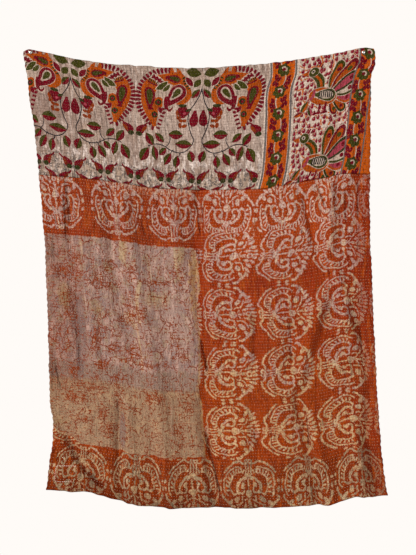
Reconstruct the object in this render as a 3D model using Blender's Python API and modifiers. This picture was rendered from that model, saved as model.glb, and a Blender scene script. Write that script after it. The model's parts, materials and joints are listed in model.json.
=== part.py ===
"""Kantha quilt hanging from two wall pins.

Units are metres. +Z is up and the quilt faces -Y. The origin lies midway
between the two pins, on the plane of the wall that they are driven into.

The quilt is two sewn panels, each a thin closed sheet in its own object. Both
follow one surface: a point of the cloth is given by u, from the left edge (0)
to the right (1), and v, from the top edge (0) to the hem (1). Tables give the
outline and the folds that gravity and storage leave in the cloth.
"""

from collections import namedtuple
from math import cos, exp, hypot, pi, radians, sin

import bmesh
import bpy

# Cloth.
CLOTH_THICKNESS = 0.0025
SEAM_V = 0.282              # where the upper panel meets the lower one
SEAM_GAP = 0.0004           # parting between the two panels
QUILT_HEIGHT = 1.62         # cut height, from the top edge to the hem
COLUMNS_ACROSS = 64
UPPER_ROWS = 11
LOWER_ROWS = 29

# How far the middle of the cloth stands off the wall.
PINNED_STAND_OFF = 0.006
TOP_STAND_OFF = 0.016
BODY_STAND_OFF = 0.036
SETTLE_DROP = 0.30          # drop below the pins at which the cloth hangs free
PINNED_FLAT_RADIUS = 0.045
PINNED_FREE_RADIUS = 0.150
LEAST_STAND_OFF = 0.005

# Pins: a domed head on a round shank with a conical point.
PIN_X = 0.612
PIN_Z = 0.0
HEAD_RADIUS = 0.0065
HEAD_HEIGHT = 0.0042
HEAD_RIM = 0.0009
SHANK_RADIUS = 0.0008
SHANK_IN_WALL = 0.013
POINT_LENGTH = 0.004
PIN_CLEARANCE = 0.0003
HEAD_STAND_OFF = PINNED_STAND_OFF + 0.5 * CLOTH_THICKNESS + PIN_CLEARANCE
DOME_STEPS = 5
PIN_SIDES = 16
HOLE_SIDES = 12
HOLE_CUTTER_LENGTH = 0.02

MERGE_DISTANCE = 0.00001

# The sides, from the top edge down: how far left and right they reach.
Side = namedtuple("Side", "v left right")
SIDES = (
    Side(0.000, -0.6395, 0.6500),
    Side(0.030, -0.6320, 0.6530),
    Side(0.060, -0.6240, 0.6410),
    Side(0.120, -0.6090, 0.6335),
    Side(0.180, -0.5935, 0.6340),
    Side(0.285, -0.5767, 0.6315),
    Side(0.360, -0.5661, 0.6310),
    Side(0.420, -0.5577, 0.6320),
    Side(0.510, -0.5504, 0.6390),
    Side(0.650, -0.5431, 0.6485),
    Side(0.800, -0.5366, 0.6615),
    Side(0.850, -0.5262, 0.6670),
    Side(0.895, -0.5280, 0.6730),
    Side(0.950, -0.5390, 0.6835),
    Side(1.000, -0.5495, 0.6953),
)

# The edges that run across, from left to right: heights of the top edge,
# which sags between the pins, of the seam and of the hem.
Across = namedtuple("Across", "u top seam hem")
ACROSS = (
    Across(0.000, +0.0055, -0.4520, -1.6010),
    Across(0.020, +0.0117, -0.4540, -1.6020),
    Across(0.080, -0.0060, -0.4600, -1.6053),
    Across(0.130, -0.0205, -0.4650, -1.6110),
    Across(0.200, -0.0362, -0.4735, -1.6345),
    Across(0.260, -0.0443, -0.4845, -1.6555),
    Across(0.330, -0.0505, -0.4973, -1.6645),
    Across(0.410, -0.0565, -0.5030, -1.6680),
    Across(0.500, -0.0595, -0.5059, -1.6680),
    Across(0.600, -0.0525, -0.5059, -1.6655),
    Across(0.680, -0.0438, -0.5035, -1.6630),
    Across(0.750, -0.0345, -0.4880, -1.6600),
    Across(0.820, -0.0200, -0.4712, -1.6570),
    Across(0.870, -0.0085, -0.4610, -1.6410),
    Across(0.910, +0.0011, -0.4495, -1.6260),
    Across(0.965, +0.0182, -0.4475, -1.6300),
    Across(1.000, +0.0120, -0.4490, -1.6235),
)

# The folds. Each runs down from (x_top, z_top) through (x_mid, z_mid) to
# (x_low, z_low). rise is towards the viewer, so a valley's is negative. left
# and right are the widths of its two flanks, and fade is the length over
# which it dies away at each end.
Fold = namedtuple("Fold", "name x_top z_top x_mid z_mid x_low z_low rise left right fade")
FOLDS = (
    # Broad swells of the whole cloth.
    Fold("left_swell", -0.400, -0.060, -0.380, -0.800, -0.330, -1.950, 0.015, 0.110, 0.120, 0.40),
    Fold("centre_swell", -0.060, -0.100, -0.020, -0.800, 0.000, -1.950, -0.011, 0.110, 0.100, 0.40),
    Fold("right_swell", 0.280, -0.040, 0.250, -0.800, 0.230, -1.950, 0.016, 0.110, 0.120, 0.40),
    # Drag of the cloth below the pins.
    Fold("left_drag", -0.590, -0.060, -0.520, -0.330, -0.470, -0.640, 0.012, 0.026, 0.040, 0.16),
    Fold("right_drag", 0.590, -0.050, 0.566, -0.260, 0.540, -0.520, 0.017, 0.026, 0.034, 0.14),
    Fold("right_drag_valley", 0.545, -0.060, 0.520, -0.260, 0.500, -0.520, -0.012, 0.024, 0.028, 0.16),
    Fold("upper_left_ridge", -0.456, -0.060, -0.458, -0.250, -0.462, -0.460, 0.009, 0.026, 0.034, 0.14),
    Fold("upper_centre_ridge", -0.002, -0.100, -0.004, -0.320, -0.010, -0.540, 0.011, 0.026, 0.034, 0.14),
    # Left half, from the left edge inwards.
    Fold("left_edge_valley", -0.528, -0.640, -0.505, -0.770, -0.470, -0.890, -0.015, 0.026, 0.028, 0.10),
    Fold("left_edge_ridge", -0.540, -0.760, -0.515, -0.860, -0.480, -0.980, 0.013, 0.026, 0.028, 0.10),
    Fold("left_long_valley", -0.478, -0.440, -0.440, -0.850, -0.402, -1.260, -0.018, 0.028, 0.022, 0.20),
    Fold("left_long_ridge", -0.430, -0.600, -0.400, -0.920, -0.382, -1.240, 0.014, 0.022, 0.032, 0.18),
    Fold("left_tuck", -0.532, -1.040, -0.515, -1.150, -0.498, -1.250, -0.013, 0.022, 0.024, 0.08),
    Fold("corner_valley", -0.530, -1.270, -0.446, -1.460, -0.305, -1.660, -0.027, 0.032, 0.040, 0.10),
    Fold("corner_ridge", -0.570, -1.400, -0.500, -1.540, -0.410, -1.690, 0.019, 0.036, 0.032, 0.10),
    Fold("middle_left_valley", -0.326, -0.440, -0.290, -0.850, -0.215, -1.150, -0.017, 0.026, 0.020, 0.18),
    Fold("main_ridge", -0.304, -0.400, -0.190, -1.000, -0.070, -1.900, 0.027, 0.024, 0.042, 0.22),
    Fold("inner_ridge", -0.112, -0.420, -0.088, -0.680, -0.058, -0.900, 0.014, 0.024, 0.030, 0.16),
    Fold("lower_left_valley", -0.290, -1.230, -0.282, -1.450, -0.266, -1.820, -0.016, 0.020, 0.018, 0.12),
    Fold("lower_left_ridge", -0.256, -1.220, -0.252, -1.420, -0.246, -1.820, 0.013, 0.018, 0.030, 0.12),
    # The crease down the middle, in two lengths.
    Fold("centre_crease", 0.011, -0.420, 0.010, -0.900, 0.058, -1.300, -0.026, 0.026, 0.020, 0.14),
    Fold("centre_crease_low", 0.016, -1.190, 0.034, -1.430, 0.110, -1.800, -0.023, 0.022, 0.020, 0.10),
    Fold("centre_lip", 0.048, -0.500, 0.046, -0.850, 0.082, -1.220, 0.012, 0.018, 0.036, 0.20),
    Fold("short_tuck", 0.215, -0.920, 0.216, -1.050, 0.214, -1.180, -0.018, 0.020, 0.020, 0.07),
    Fold("lower_centre_valley", 0.190, -1.220, 0.214, -1.370, 0.240, -1.520, -0.013, 0.024, 0.024, 0.10),
    Fold("lower_centre_ridge", 0.150, -1.280, 0.158, -1.480, 0.172, -1.850, 0.015, 0.030, 0.036, 0.16),
    # Right half.
    Fold("squeezed_valley", 0.376, -0.480, 0.416, -0.620, 0.444, -0.790, -0.018, 0.024, 0.022, 0.09),
    Fold("squeezed_ridge", 0.484, -0.420, 0.480, -0.580, 0.474, -0.790, 0.017, 0.024, 0.028, 0.12),
    Fold("knee_ridge", 0.480, -0.820, 0.422, -1.030, 0.346, -1.280, 0.027, 0.028, 0.024, 0.11),
    Fold("knee_left_valley", 0.350, -0.950, 0.346, -1.080, 0.336, -1.190, -0.015, 0.024, 0.020, 0.07),
    Fold("knee_right_valley", 0.474, -0.920, 0.444, -1.030, 0.404, -1.150, -0.019, 0.020, 0.026, 0.07),
    Fold("right_low_valley", 0.356, -1.200, 0.396, -1.390, 0.468, -1.780, -0.024, 0.024, 0.020, 0.10),
    Fold("right_low_ridge", 0.386, -1.220, 0.428, -1.400, 0.504, -1.780, 0.017, 0.020, 0.032, 0.12),
    Fold("right_ridge", 0.500, -0.750, 0.530, -0.900, 0.572, -1.070, 0.018, 0.026, 0.026, 0.10),
    Fold("right_valley", 0.552, -0.890, 0.612, -1.090, 0.616, -1.450, -0.021, 0.024, 0.022, 0.10),
    Fold("right_hem_valley", 0.612, -1.380, 0.640, -1.500, 0.690, -1.780, -0.023, 0.024, 0.020, 0.08),
    Fold("right_hem_ridge", 0.560, -1.290, 0.580, -1.470, 0.612, -1.820, 0.020, 0.026, 0.028, 0.12),
)

# The corner past the right pin, which turns out as a small ear.
EAR_FOLDS = (
    Fold("ear_crease", 0.6300, 0.060, 0.6300, -0.010, 0.6290, -0.075, -0.0015, 0.009, 0.009, 0.04),
    Fold("ear", 0.6540, 0.060, 0.6560, -0.010, 0.6480, -0.100, 0.0110, 0.016, 0.016, 0.06),
)


def smooth_step(low, high, value):
    """0 below low, 1 above high, and a smooth rise between."""
    t = min(max((value - low) / (high - low), 0.0), 1.0)
    return t * t * (3.0 - 2.0 * t)


def blend(a, b, t):
    return a + (b - a) * t


def read_table(rows, key, column, at):
    """A smooth curve through one column of a table (Catmull-Rom)."""
    keys = [getattr(row, key) for row in rows]
    values = [getattr(row, column) for row in rows]
    last = len(rows) - 1
    i = 0
    while i < last - 1 and at > keys[i + 1]:
        i += 1
    span = keys[i + 1] - keys[i]
    t = (at - keys[i]) / span

    def slope(j):
        before, after = max(j - 1, 0), min(j + 1, last)
        return (values[after] - values[before]) / (keys[after] - keys[before]) * span

    leave, arrive = slope(i), slope(i + 1)
    rise = values[i + 1] - values[i]
    return values[i] + t * (leave + t * (3.0 * rise - 2.0 * leave - arrive
                                         + t * (leave + arrive - 2.0 * rise)))


def fold_x(fold, z):
    """Where the fold's line is at height z: a parabola through three points."""
    top, mid, low = fold.z_top, fold.z_mid, fold.z_low
    return (fold.x_top * (z - mid) * (z - low) / ((top - mid) * (top - low))
            + fold.x_mid * (z - top) * (z - low) / ((mid - top) * (mid - low))
            + fold.x_low * (z - top) * (z - mid) / ((low - top) * (low - mid)))


def fold_rise(fold, x, z):
    """How far one fold lifts the cloth towards the viewer at (x, z)."""
    if not fold.z_low < z < fold.z_top:
        return 0.0
    aside = x - fold_x(fold, z)
    width = fold.left if aside < 0.0 else fold.right
    along = (smooth_step(fold.z_low, fold.z_low + fold.fade, z)
             * (1.0 - smooth_step(fold.z_top - fold.fade, fold.z_top, z)))
    return fold.rise * along * exp(-(aside / width) ** 2)


def stand_off(x, z):
    """Distance from the wall to the middle of the cloth."""
    free = blend(TOP_STAND_OFF, BODY_STAND_OFF, smooth_step(0.0, SETTLE_DROP, -z))
    free += sum(fold_rise(fold, x, z) for fold in FOLDS)
    from_pin = hypot(abs(x) - PIN_X, z - PIN_Z)
    held = blend(PINNED_STAND_OFF, free,
                 smooth_step(PINNED_FLAT_RADIUS, PINNED_FREE_RADIUS, from_pin))
    held += sum(fold_rise(fold, x, z) for fold in EAR_FOLDS)
    return max(held, LEAST_STAND_OFF)


def cloth_point(u, v):
    """The place of the cloth's middle layer at (u, v)."""
    left = read_table(SIDES, "v", "left", v)
    right = read_table(SIDES, "v", "right", v)
    x = blend(left, right, u)
    seam = read_table(ACROSS, "u", "seam", u)
    if v < SEAM_V:
        top = read_table(ACROSS, "u", "top", u)
        z = blend(top, seam, v / SEAM_V)
    else:
        hem = read_table(ACROSS, "u", "hem", u)
        z = blend(seam, hem, (v - SEAM_V) / (1.0 - SEAM_V))
    return x, -stand_off(x, z), z


def new_collection(name):
    collection = bpy.data.collections.new(name)
    bpy.context.scene.collection.children.link(collection)
    return collection


def material(name, colour, roughness, metallic=0.0):
    made = bpy.data.materials.new(name)
    made.use_nodes = True
    shader = made.node_tree.nodes["Principled BSDF"]
    shader.inputs["Base Color"].default_value = (*colour, 1.0)
    shader.inputs["Roughness"].default_value = roughness
    shader.inputs["Metallic"].default_value = metallic
    return made


def add_object(name, mesh, surface, collection):
    mesh.materials.append(surface)
    made = bpy.data.objects.new(name, mesh)
    collection.objects.link(made)
    return made


def panel(name, v_top, v_low, rows, surface, collection):
    """One sewn panel: a grid laid on the cloth surface, then given thickness."""
    shape = bmesh.new()
    bmesh.ops.create_grid(shape, x_segments=COLUMNS_ACROSS, y_segments=rows, size=0.5)
    for vert in shape.verts:
        u = vert.co.x + 0.5
        v = blend(v_low, v_top, vert.co.y + 0.5)
        vert.co = cloth_point(u, v)
    mesh = bpy.data.meshes.new(name)
    shape.to_mesh(mesh)
    shape.free()
    mesh.shade_smooth()
    made = add_object(name, mesh, surface, collection)
    solid = made.modifiers.new("thickness", "SOLIDIFY")
    solid.thickness = CLOTH_THICKNESS
    solid.offset = 0.0
    return made


def pin_profile():
    """Half outline of a pin, from the top of its dome down to its point."""
    points = []
    for step in range(DOME_STEPS + 1):
        angle = 0.5 * pi * step / DOME_STEPS
        points.append((HEAD_RADIUS * sin(angle), HEAD_RIM + (HEAD_HEIGHT - HEAD_RIM) * cos(angle)))
    tip = -HEAD_STAND_OFF - SHANK_IN_WALL
    points.append((HEAD_RADIUS, 0.0))
    points.append((SHANK_RADIUS, 0.0))
    points.append((SHANK_RADIUS, tip + POINT_LENGTH))
    points.append((0.0, tip))
    return points


def pin(name, x, surface, collection):
    """A turned pin, its head against the cloth and its shank in the wall."""
    shape = bmesh.new()
    verts = [shape.verts.new((radius, 0.0, height)) for radius, height in pin_profile()]
    for upper, lower in zip(verts, verts[1:]):
        shape.edges.new((upper, lower))
    mesh = bpy.data.meshes.new(name)
    shape.to_mesh(mesh)
    shape.free()
    made = add_object(name, mesh, surface, collection)
    made.location = (x, -HEAD_STAND_OFF, PIN_Z)
    made.rotation_euler = (radians(90.0), 0.0, 0.0)
    turned = made.modifiers.new("turned", "SCREW")
    turned.axis = "Z"
    turned.steps = PIN_SIDES
    turned.render_steps = PIN_SIDES
    turned.use_merge_vertices = True
    turned.merge_threshold = MERGE_DISTANCE
    turned.use_smooth_shade = True
    return made


def pierce(cloth, x, collection):
    """Open the hole that a pin's shank makes in the cloth."""
    bpy.ops.mesh.primitive_cylinder_add(
        vertices=HOLE_SIDES, radius=SHANK_RADIUS + PIN_CLEARANCE, depth=HOLE_CUTTER_LENGTH,
        location=(x, -PINNED_STAND_OFF, PIN_Z), rotation=(radians(90.0), 0.0, 0.0))
    cutter = bpy.context.object
    cutter.name = "pin_hole_cutter"
    for holder in list(cutter.users_collection):
        holder.objects.unlink(cutter)
    collection.objects.link(cutter)
    cutter.hide_render = True
    cutter.display_type = "WIRE"
    hole = cloth.modifiers.new("pin_hole", "BOOLEAN")
    hole.operation = "DIFFERENCE"
    hole.object = cutter


def build():
    for old in list(bpy.data.objects):
        bpy.data.objects.remove(old, do_unlink=True)
    quilt = new_collection("kantha_quilt")
    cutters = new_collection("cutters")

    printed = material("printed_tussar_cloth", (0.62, 0.48, 0.40), 0.85)
    orange = material("rust_orange_cloth", (0.56, 0.14, 0.04), 0.85)
    steel = material("polished_steel", (0.72, 0.71, 0.69), 0.3, 1.0)

    seam_half = 0.5 * SEAM_GAP / QUILT_HEIGHT
    upper = panel("upper_panel", 0.0, SEAM_V - seam_half, UPPER_ROWS, printed, quilt)
    panel("lower_panel", SEAM_V + seam_half, 1.0, LOWER_ROWS, orange, quilt)
    pin("pin_left", -PIN_X, steel, quilt)
    pin("pin_right", PIN_X, steel, quilt)
    pierce(upper, -PIN_X, cutters)
    pierce(upper, PIN_X, cutters)


build()
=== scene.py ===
"""Looks of the kantha quilt that hangs from two wall pins.

Metres, +Z up, the quilt facing -Y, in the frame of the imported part. Two sewn
panels hang in the folds of their solids. Each is a fine sheet with the rows
of running stitch that hold its layers together; the prints are node
patterns drawn in the cloth's own flat coordinates.
"""

import json
from collections import namedtuple
from math import atan2, cos, degrees, hypot, inf, pi, radians, sin

import bpy
import numpy as np
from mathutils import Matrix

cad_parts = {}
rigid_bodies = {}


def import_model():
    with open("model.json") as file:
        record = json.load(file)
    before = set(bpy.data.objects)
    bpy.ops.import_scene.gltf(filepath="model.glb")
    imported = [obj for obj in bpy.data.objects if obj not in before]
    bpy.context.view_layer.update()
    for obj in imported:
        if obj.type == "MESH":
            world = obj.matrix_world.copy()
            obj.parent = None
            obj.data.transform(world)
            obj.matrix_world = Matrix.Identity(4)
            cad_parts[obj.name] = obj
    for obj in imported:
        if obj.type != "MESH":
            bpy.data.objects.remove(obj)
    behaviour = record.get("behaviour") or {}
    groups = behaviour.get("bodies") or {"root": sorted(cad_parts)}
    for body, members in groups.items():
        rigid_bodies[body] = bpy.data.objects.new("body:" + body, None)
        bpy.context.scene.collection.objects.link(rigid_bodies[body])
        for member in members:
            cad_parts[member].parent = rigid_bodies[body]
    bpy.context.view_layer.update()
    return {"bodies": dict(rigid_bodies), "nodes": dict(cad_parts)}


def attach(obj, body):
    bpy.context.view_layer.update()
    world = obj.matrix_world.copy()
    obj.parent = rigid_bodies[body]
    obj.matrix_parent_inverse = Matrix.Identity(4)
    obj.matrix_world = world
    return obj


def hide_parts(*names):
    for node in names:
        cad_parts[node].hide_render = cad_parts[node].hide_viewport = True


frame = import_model()
BODY = next(iter(frame["bodies"]))

MM = 0.001

# ---------------------------------------------------------------------------
# The drape: one surface for both panels, a point of it given by u, from the
# left edge (0) to the right (1), and v, from the top edge (0) to the hem (1).
# ---------------------------------------------------------------------------
SEAM_V = 0.282
CUT_WIDTH = 1.30
CUT_HEIGHT = 1.62
SEAM_T = 0.457              # the seam's distance from the top edge, along the cloth
SEAM_OVERLAP = 0.005        # how far the lower panel goes up behind the upper one
SEAM_TUCK = 0.0030          # how far back its edge lies there

PINNED_STAND_OFF = 0.006
TOP_STAND_OFF = 0.016
BODY_STAND_OFF = 0.036
SETTLE_DROP = 0.30
PINNED_FLAT_RADIUS = 0.045
PINNED_FREE_RADIUS = 0.150
LEAST_STAND_OFF = 0.005
PIN_X = 0.612

Side = namedtuple("Side", "v left right")
SIDES = tuple(Side(*row) for row in (
    (0.000, -0.6395, 0.6500),
    (0.030, -0.6320, 0.6530),
    (0.060, -0.6240, 0.6410),
    (0.120, -0.6090, 0.6335),
    (0.180, -0.5935, 0.6340),
    (0.285, -0.5767, 0.6315),
    (0.360, -0.5661, 0.6310),
    (0.420, -0.5577, 0.6320),
    (0.510, -0.5504, 0.6390),
    (0.650, -0.5431, 0.6485),
    (0.800, -0.5366, 0.6615),
    (0.850, -0.5262, 0.6670),
    (0.895, -0.5280, 0.6730),
    (0.950, -0.5390, 0.6835),
    (1.000, -0.5495, 0.6953),
))

Across = namedtuple("Across", "u top seam hem")
ACROSS = tuple(Across(*row) for row in (
    (0.000, +0.0055, -0.4520, -1.6010),
    (0.020, +0.0117, -0.4540, -1.6020),
    (0.080, -0.0060, -0.4600, -1.6053),
    (0.130, -0.0205, -0.4650, -1.6110),
    (0.200, -0.0362, -0.4735, -1.6345),
    (0.260, -0.0443, -0.4845, -1.6555),
    (0.330, -0.0505, -0.4973, -1.6645),
    (0.410, -0.0565, -0.5030, -1.6680),
    (0.500, -0.0595, -0.5059, -1.6680),
    (0.600, -0.0525, -0.5059, -1.6655),
    (0.680, -0.0438, -0.5035, -1.6630),
    (0.750, -0.0345, -0.4880, -1.6600),
    (0.820, -0.0200, -0.4712, -1.6570),
    (0.870, -0.0085, -0.4610, -1.6410),
    (0.910, +0.0011, -0.4495, -1.6260),
    (0.965, +0.0182, -0.4475, -1.6300),
    (1.000, +0.0120, -0.4490, -1.6235),
))

# Each fold runs down through three points. rise is towards the viewer, left
# and right are the widths of its flanks, fade is where it dies away.
Fold = namedtuple("Fold", "name x_top z_top x_mid z_mid x_low z_low rise left right fade")
FOLDS = tuple(Fold(*row) for row in (
    ("left_swell", -0.4, -0.06, -0.38, -0.8, -0.33, -1.95, 0.015, 0.11, 0.12, 0.4),
    ("centre_swell", -0.06, -0.1, -0.02, -0.8, 0.0, -1.95, -0.011, 0.11, 0.1, 0.4),
    ("right_swell", 0.28, -0.04, 0.25, -0.8, 0.23, -1.95, 0.016, 0.11, 0.12, 0.4),
    ("left_drag", -0.59, -0.06, -0.52, -0.33, -0.47, -0.64, 0.012, 0.026, 0.04, 0.16),
    ("right_drag", 0.59, -0.05, 0.566, -0.26, 0.54, -0.52, 0.017, 0.026, 0.034, 0.14),
    ("right_drag_valley", 0.545, -0.06, 0.52, -0.26, 0.5, -0.52, -0.012, 0.024, 0.028, 0.16),
    ("upper_left_ridge", -0.456, -0.06, -0.458, -0.25, -0.462, -0.46, 0.009, 0.026, 0.034, 0.14),
    ("upper_centre_ridge", -0.002, -0.1, -0.004, -0.32, -0.01, -0.54, 0.011, 0.026, 0.034, 0.14),
    ("left_edge_valley", -0.528, -0.64, -0.505, -0.77, -0.47, -0.89, -0.015, 0.026, 0.028, 0.1),
    ("left_edge_ridge", -0.54, -0.76, -0.515, -0.86, -0.48, -0.98, 0.013, 0.026, 0.028, 0.1),
    ("left_long_valley", -0.478, -0.44, -0.44, -0.85, -0.402, -1.26, -0.018, 0.028, 0.022, 0.2),
    ("left_long_ridge", -0.43, -0.6, -0.4, -0.92, -0.382, -1.24, 0.014, 0.022, 0.032, 0.18),
    ("left_tuck", -0.532, -1.04, -0.515, -1.15, -0.498, -1.25, -0.013, 0.022, 0.024, 0.08),
    ("corner_valley", -0.53, -1.27, -0.446, -1.46, -0.305, -1.66, -0.027, 0.032, 0.04, 0.1),
    ("corner_ridge", -0.57, -1.4, -0.5, -1.54, -0.41, -1.69, 0.019, 0.036, 0.032, 0.1),
    ("middle_left_valley", -0.326, -0.44, -0.29, -0.85, -0.215, -1.15, -0.017, 0.026, 0.02, 0.18),
    ("main_ridge", -0.304, -0.4, -0.19, -1.0, -0.07, -1.9, 0.027, 0.024, 0.042, 0.22),
    ("inner_ridge", -0.112, -0.42, -0.088, -0.68, -0.058, -0.9, 0.014, 0.024, 0.03, 0.16),
    ("lower_left_valley", -0.29, -1.23, -0.282, -1.45, -0.266, -1.82, -0.016, 0.02, 0.018, 0.12),
    ("lower_left_ridge", -0.256, -1.22, -0.252, -1.42, -0.246, -1.82, 0.013, 0.018, 0.03, 0.12),
    ("centre_crease", 0.011, -0.42, 0.01, -0.9, 0.058, -1.3, -0.026, 0.026, 0.02, 0.14),
    ("centre_crease_low", 0.016, -1.19, 0.034, -1.43, 0.11, -1.8, -0.023, 0.022, 0.02, 0.1),
    ("centre_lip", 0.048, -0.5, 0.046, -0.85, 0.082, -1.22, 0.012, 0.018, 0.036, 0.2),
    ("short_tuck", 0.215, -0.92, 0.216, -1.05, 0.214, -1.18, -0.018, 0.02, 0.02, 0.07),
    ("lower_centre_valley", 0.19, -1.22, 0.214, -1.37, 0.24, -1.52, -0.013, 0.024, 0.024, 0.1),
    ("lower_centre_ridge", 0.15, -1.28, 0.158, -1.48, 0.172, -1.85, 0.015, 0.03, 0.036, 0.16),
    ("squeezed_valley", 0.376, -0.48, 0.416, -0.62, 0.444, -0.79, -0.018, 0.024, 0.022, 0.09),
    ("squeezed_ridge", 0.484, -0.42, 0.48, -0.58, 0.474, -0.79, 0.017, 0.024, 0.028, 0.12),
    ("knee_ridge", 0.48, -0.82, 0.422, -1.03, 0.346, -1.28, 0.021, 0.028, 0.028, 0.11),
    ("knee_left_valley", 0.35, -0.95, 0.346, -1.08, 0.336, -1.19, -0.015, 0.024, 0.02, 0.07),
    ("knee_right_valley", 0.474, -0.92, 0.444, -1.03, 0.404, -1.15, -0.01, 0.02, 0.026, 0.07),
    ("right_low_valley", 0.356, -1.2, 0.396, -1.39, 0.468, -1.78, -0.024, 0.024, 0.02, 0.1),
    ("right_low_ridge", 0.386, -1.22, 0.428, -1.4, 0.504, -1.78, 0.017, 0.02, 0.032, 0.12),
    ("right_ridge", 0.5, -0.75, 0.53, -0.9, 0.572, -1.07, 0.018, 0.026, 0.026, 0.1),
    ("right_valley", 0.552, -0.89, 0.612, -1.09, 0.616, -1.45, -0.021, 0.024, 0.022, 0.1),
    ("right_hem_valley", 0.612, -1.38, 0.64, -1.5, 0.69, -1.78, -0.023, 0.024, 0.02, 0.08),
    ("right_hem_ridge", 0.56, -1.29, 0.58, -1.47, 0.612, -1.82, 0.02, 0.026, 0.028, 0.12),
))
EAR_FOLDS = (
    Fold("ear_crease", 0.6300, 0.060, 0.6300, -0.010, 0.6290, -0.075, -0.0015, 0.009, 0.009, 0.04),
    Fold("ear", 0.6540, 0.060, 0.6560, -0.010, 0.6480, -0.100, 0.0110, 0.016, 0.016, 0.06),
)

# Smaller creases that only the fine surface carries. They are placed on a
# grid of picture units, x to the right and y down, and run from one point to
# another. rise is in mm, and bow moves the middle to the right of the line.
PICTURE_UNIT = 0.00365
PICTURE_ORIGIN = (197.0, 51.0)
Crease = namedtuple("Crease", "x_from y_from x_to y_to width rise bow", defaults=(0.0,))
CREASES = tuple(Crease(*row) for row in (
    # Left half, from the seam down.
    (77, 180, 86, 268, 5.0, 3.5),
    (67, 182, 69, 242, 2.6, -2.6),
    (103, 182, 110, 240, 4.5, 3.0),
    (111, 204, 117, 270, 2.6, -3.0),
    (121, 184, 127, 270, 4.2, 3.4),
    (131, 272, 156, 350, 4.0, 2.6, -1.0),
    (134, 186, 162, 242, 3.2, 2.8, -3.0),
    (150, 186, 170, 240, 3.6, 3.2, -2.0),
    (166, 203, 173, 236, 2.2, -2.6),
    (174, 188, 183, 278, 3.8, 3.2),
    (192, 184, 197, 238, 3.2, 2.8),
    (202, 196, 204, 244, 2.0, -2.0),
    (92, 286, 97, 384, 3.4, 2.4, 1.0),
    (82, 288, 86, 364, 2.6, -2.6),
    (91, 384, 106, 416, 1.8, -2.2),
    (62, 274, 76, 332, 4.6, 2.6),
    (80, 374, 104, 482, 6.0, 3.6, -2.0),
    (48, 232, 69, 282, 4.0, -3.0),
    (57, 386, 95, 484, 4.4, -3.4, -3.0),
    (122, 394, 124, 460, 3.0, -2.6),
    (133, 414, 133, 500, 4.0, 2.4),
    (122, 384, 130, 416, 1.8, 1.6),
    (170, 300, 183, 420, 4.4, 2.6, 1.0),
    (172, 428, 179, 472, 3.4, 2.0),
    (143, 236, 160, 282, 3.0, 2.0, 1.0),
    (154, 300, 166, 330, 2.6, 1.6),
    (96, 404, 116, 470, 5.0, 2.2, 2.0),
    # Sharp creases beside the pale field.
    (199, 332, 213, 392, 1.5, -3.0),
    (201, 404, 219, 498, 1.5, -3.2, -1.0),
    (206, 336, 221, 404, 3.2, 2.2),
    (207, 408, 225, 492, 3.2, 2.2),
    (199, 304, 205, 334, 1.4, -2.4),
    # Right half.
    (253, 190, 247, 300, 4.4, 3.0),
    (248, 290, 250, 378, 5.0, 2.8),
    (290, 298, 293, 372, 1.8, -3.0),
    (298, 318, 299, 376, 3.0, 2.0),
    (320, 260, 299, 386, 3.2, 3.0),
    (310, 276, 312, 316, 2.2, -2.6),
    (327, 298, 311, 374, 2.8, -2.6),
    (300, 376, 321, 472, 3.2, 3.0),
    (299, 402, 322, 497, 2.2, -3.2, 1.0),
    (290, 404, 298, 442, 1.8, -2.6),
    (250, 390, 257, 426, 1.5, -2.4),
    (257, 428, 264, 470, 1.5, -2.2),
    (292, 180, 296, 238, 4.4, 2.8),
    (301, 187, 316, 252, 2.0, -3.4),
    (328, 180, 331, 264, 5.6, 3.2),
    (320, 194, 325, 218, 1.8, -2.4),
    (308, 184, 323, 232, 2.0, 2.0),
    (340, 180, 342, 302, 4.2, -2.6),
    (341, 298, 369, 352, 2.8, -3.6, 1.0),
    (317, 234, 318, 278, 1.5, -2.0),
    (330, 316, 326, 372, 2.0, -2.6),
    (320, 374, 326, 410, 1.8, -2.0),
    (347, 364, 351, 408, 1.8, -2.4),
    (269, 196, 262, 262, 3.4, 2.2, 1.0),
    (228, 300, 236, 382, 5.0, 2.2, 1.0),
    (276, 392, 288, 470, 4.4, 2.4),
    (238, 430, 248, 500, 4.4, 2.4),
    # Upper panel.
    (201, 76, 200, 176, 3.6, 3.2),
    (187, 150, 198, 190, 2.4, 2.2),
    (208, 90, 218, 182, 3.0, 1.8),
    (178, 84, 172, 176, 3.4, 1.6),
    (88, 112, 90, 184, 4.4, 2.2),
    (66, 82, 70, 130, 3.6, 2.4),
    (136, 70, 140, 180, 4.4, 1.8, -1.0),
    (116, 66, 112, 150, 3.8, 1.6, 1.0),
    (262, 84, 262, 192, 2.0, -2.2),
    (304, 64, 305, 128, 3.4, 2.4),
    (311, 104, 309, 144, 2.0, -2.0),
    (292, 98, 290, 156, 2.8, 1.8),
    (330, 60, 322, 140, 3.6, 2.2),
    (347, 70, 352, 172, 3.8, 2.4),
    (336, 120, 330, 184, 3.0, 2.0),
    (240, 88, 236, 186, 3.8, 1.8),
    # Creases across, left by folding the quilt away.
    (128, 282, 270, 288, 1.3, -1.8),
    (110, 243, 214, 247, 1.3, -0.8),
    (112, 365, 300, 371, 1.4, -0.8),
    (52, 372, 130, 366, 1.4, -0.7),
    (214, 384, 372, 390, 1.4, -0.8),
))


def smooth_step(low, high, value):
    """0 below low, 1 above high, and a smooth rise between."""
    share = np.clip((value - low) / (high - low), 0.0, 1.0)
    return share * share * (3.0 - 2.0 * share)


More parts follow.
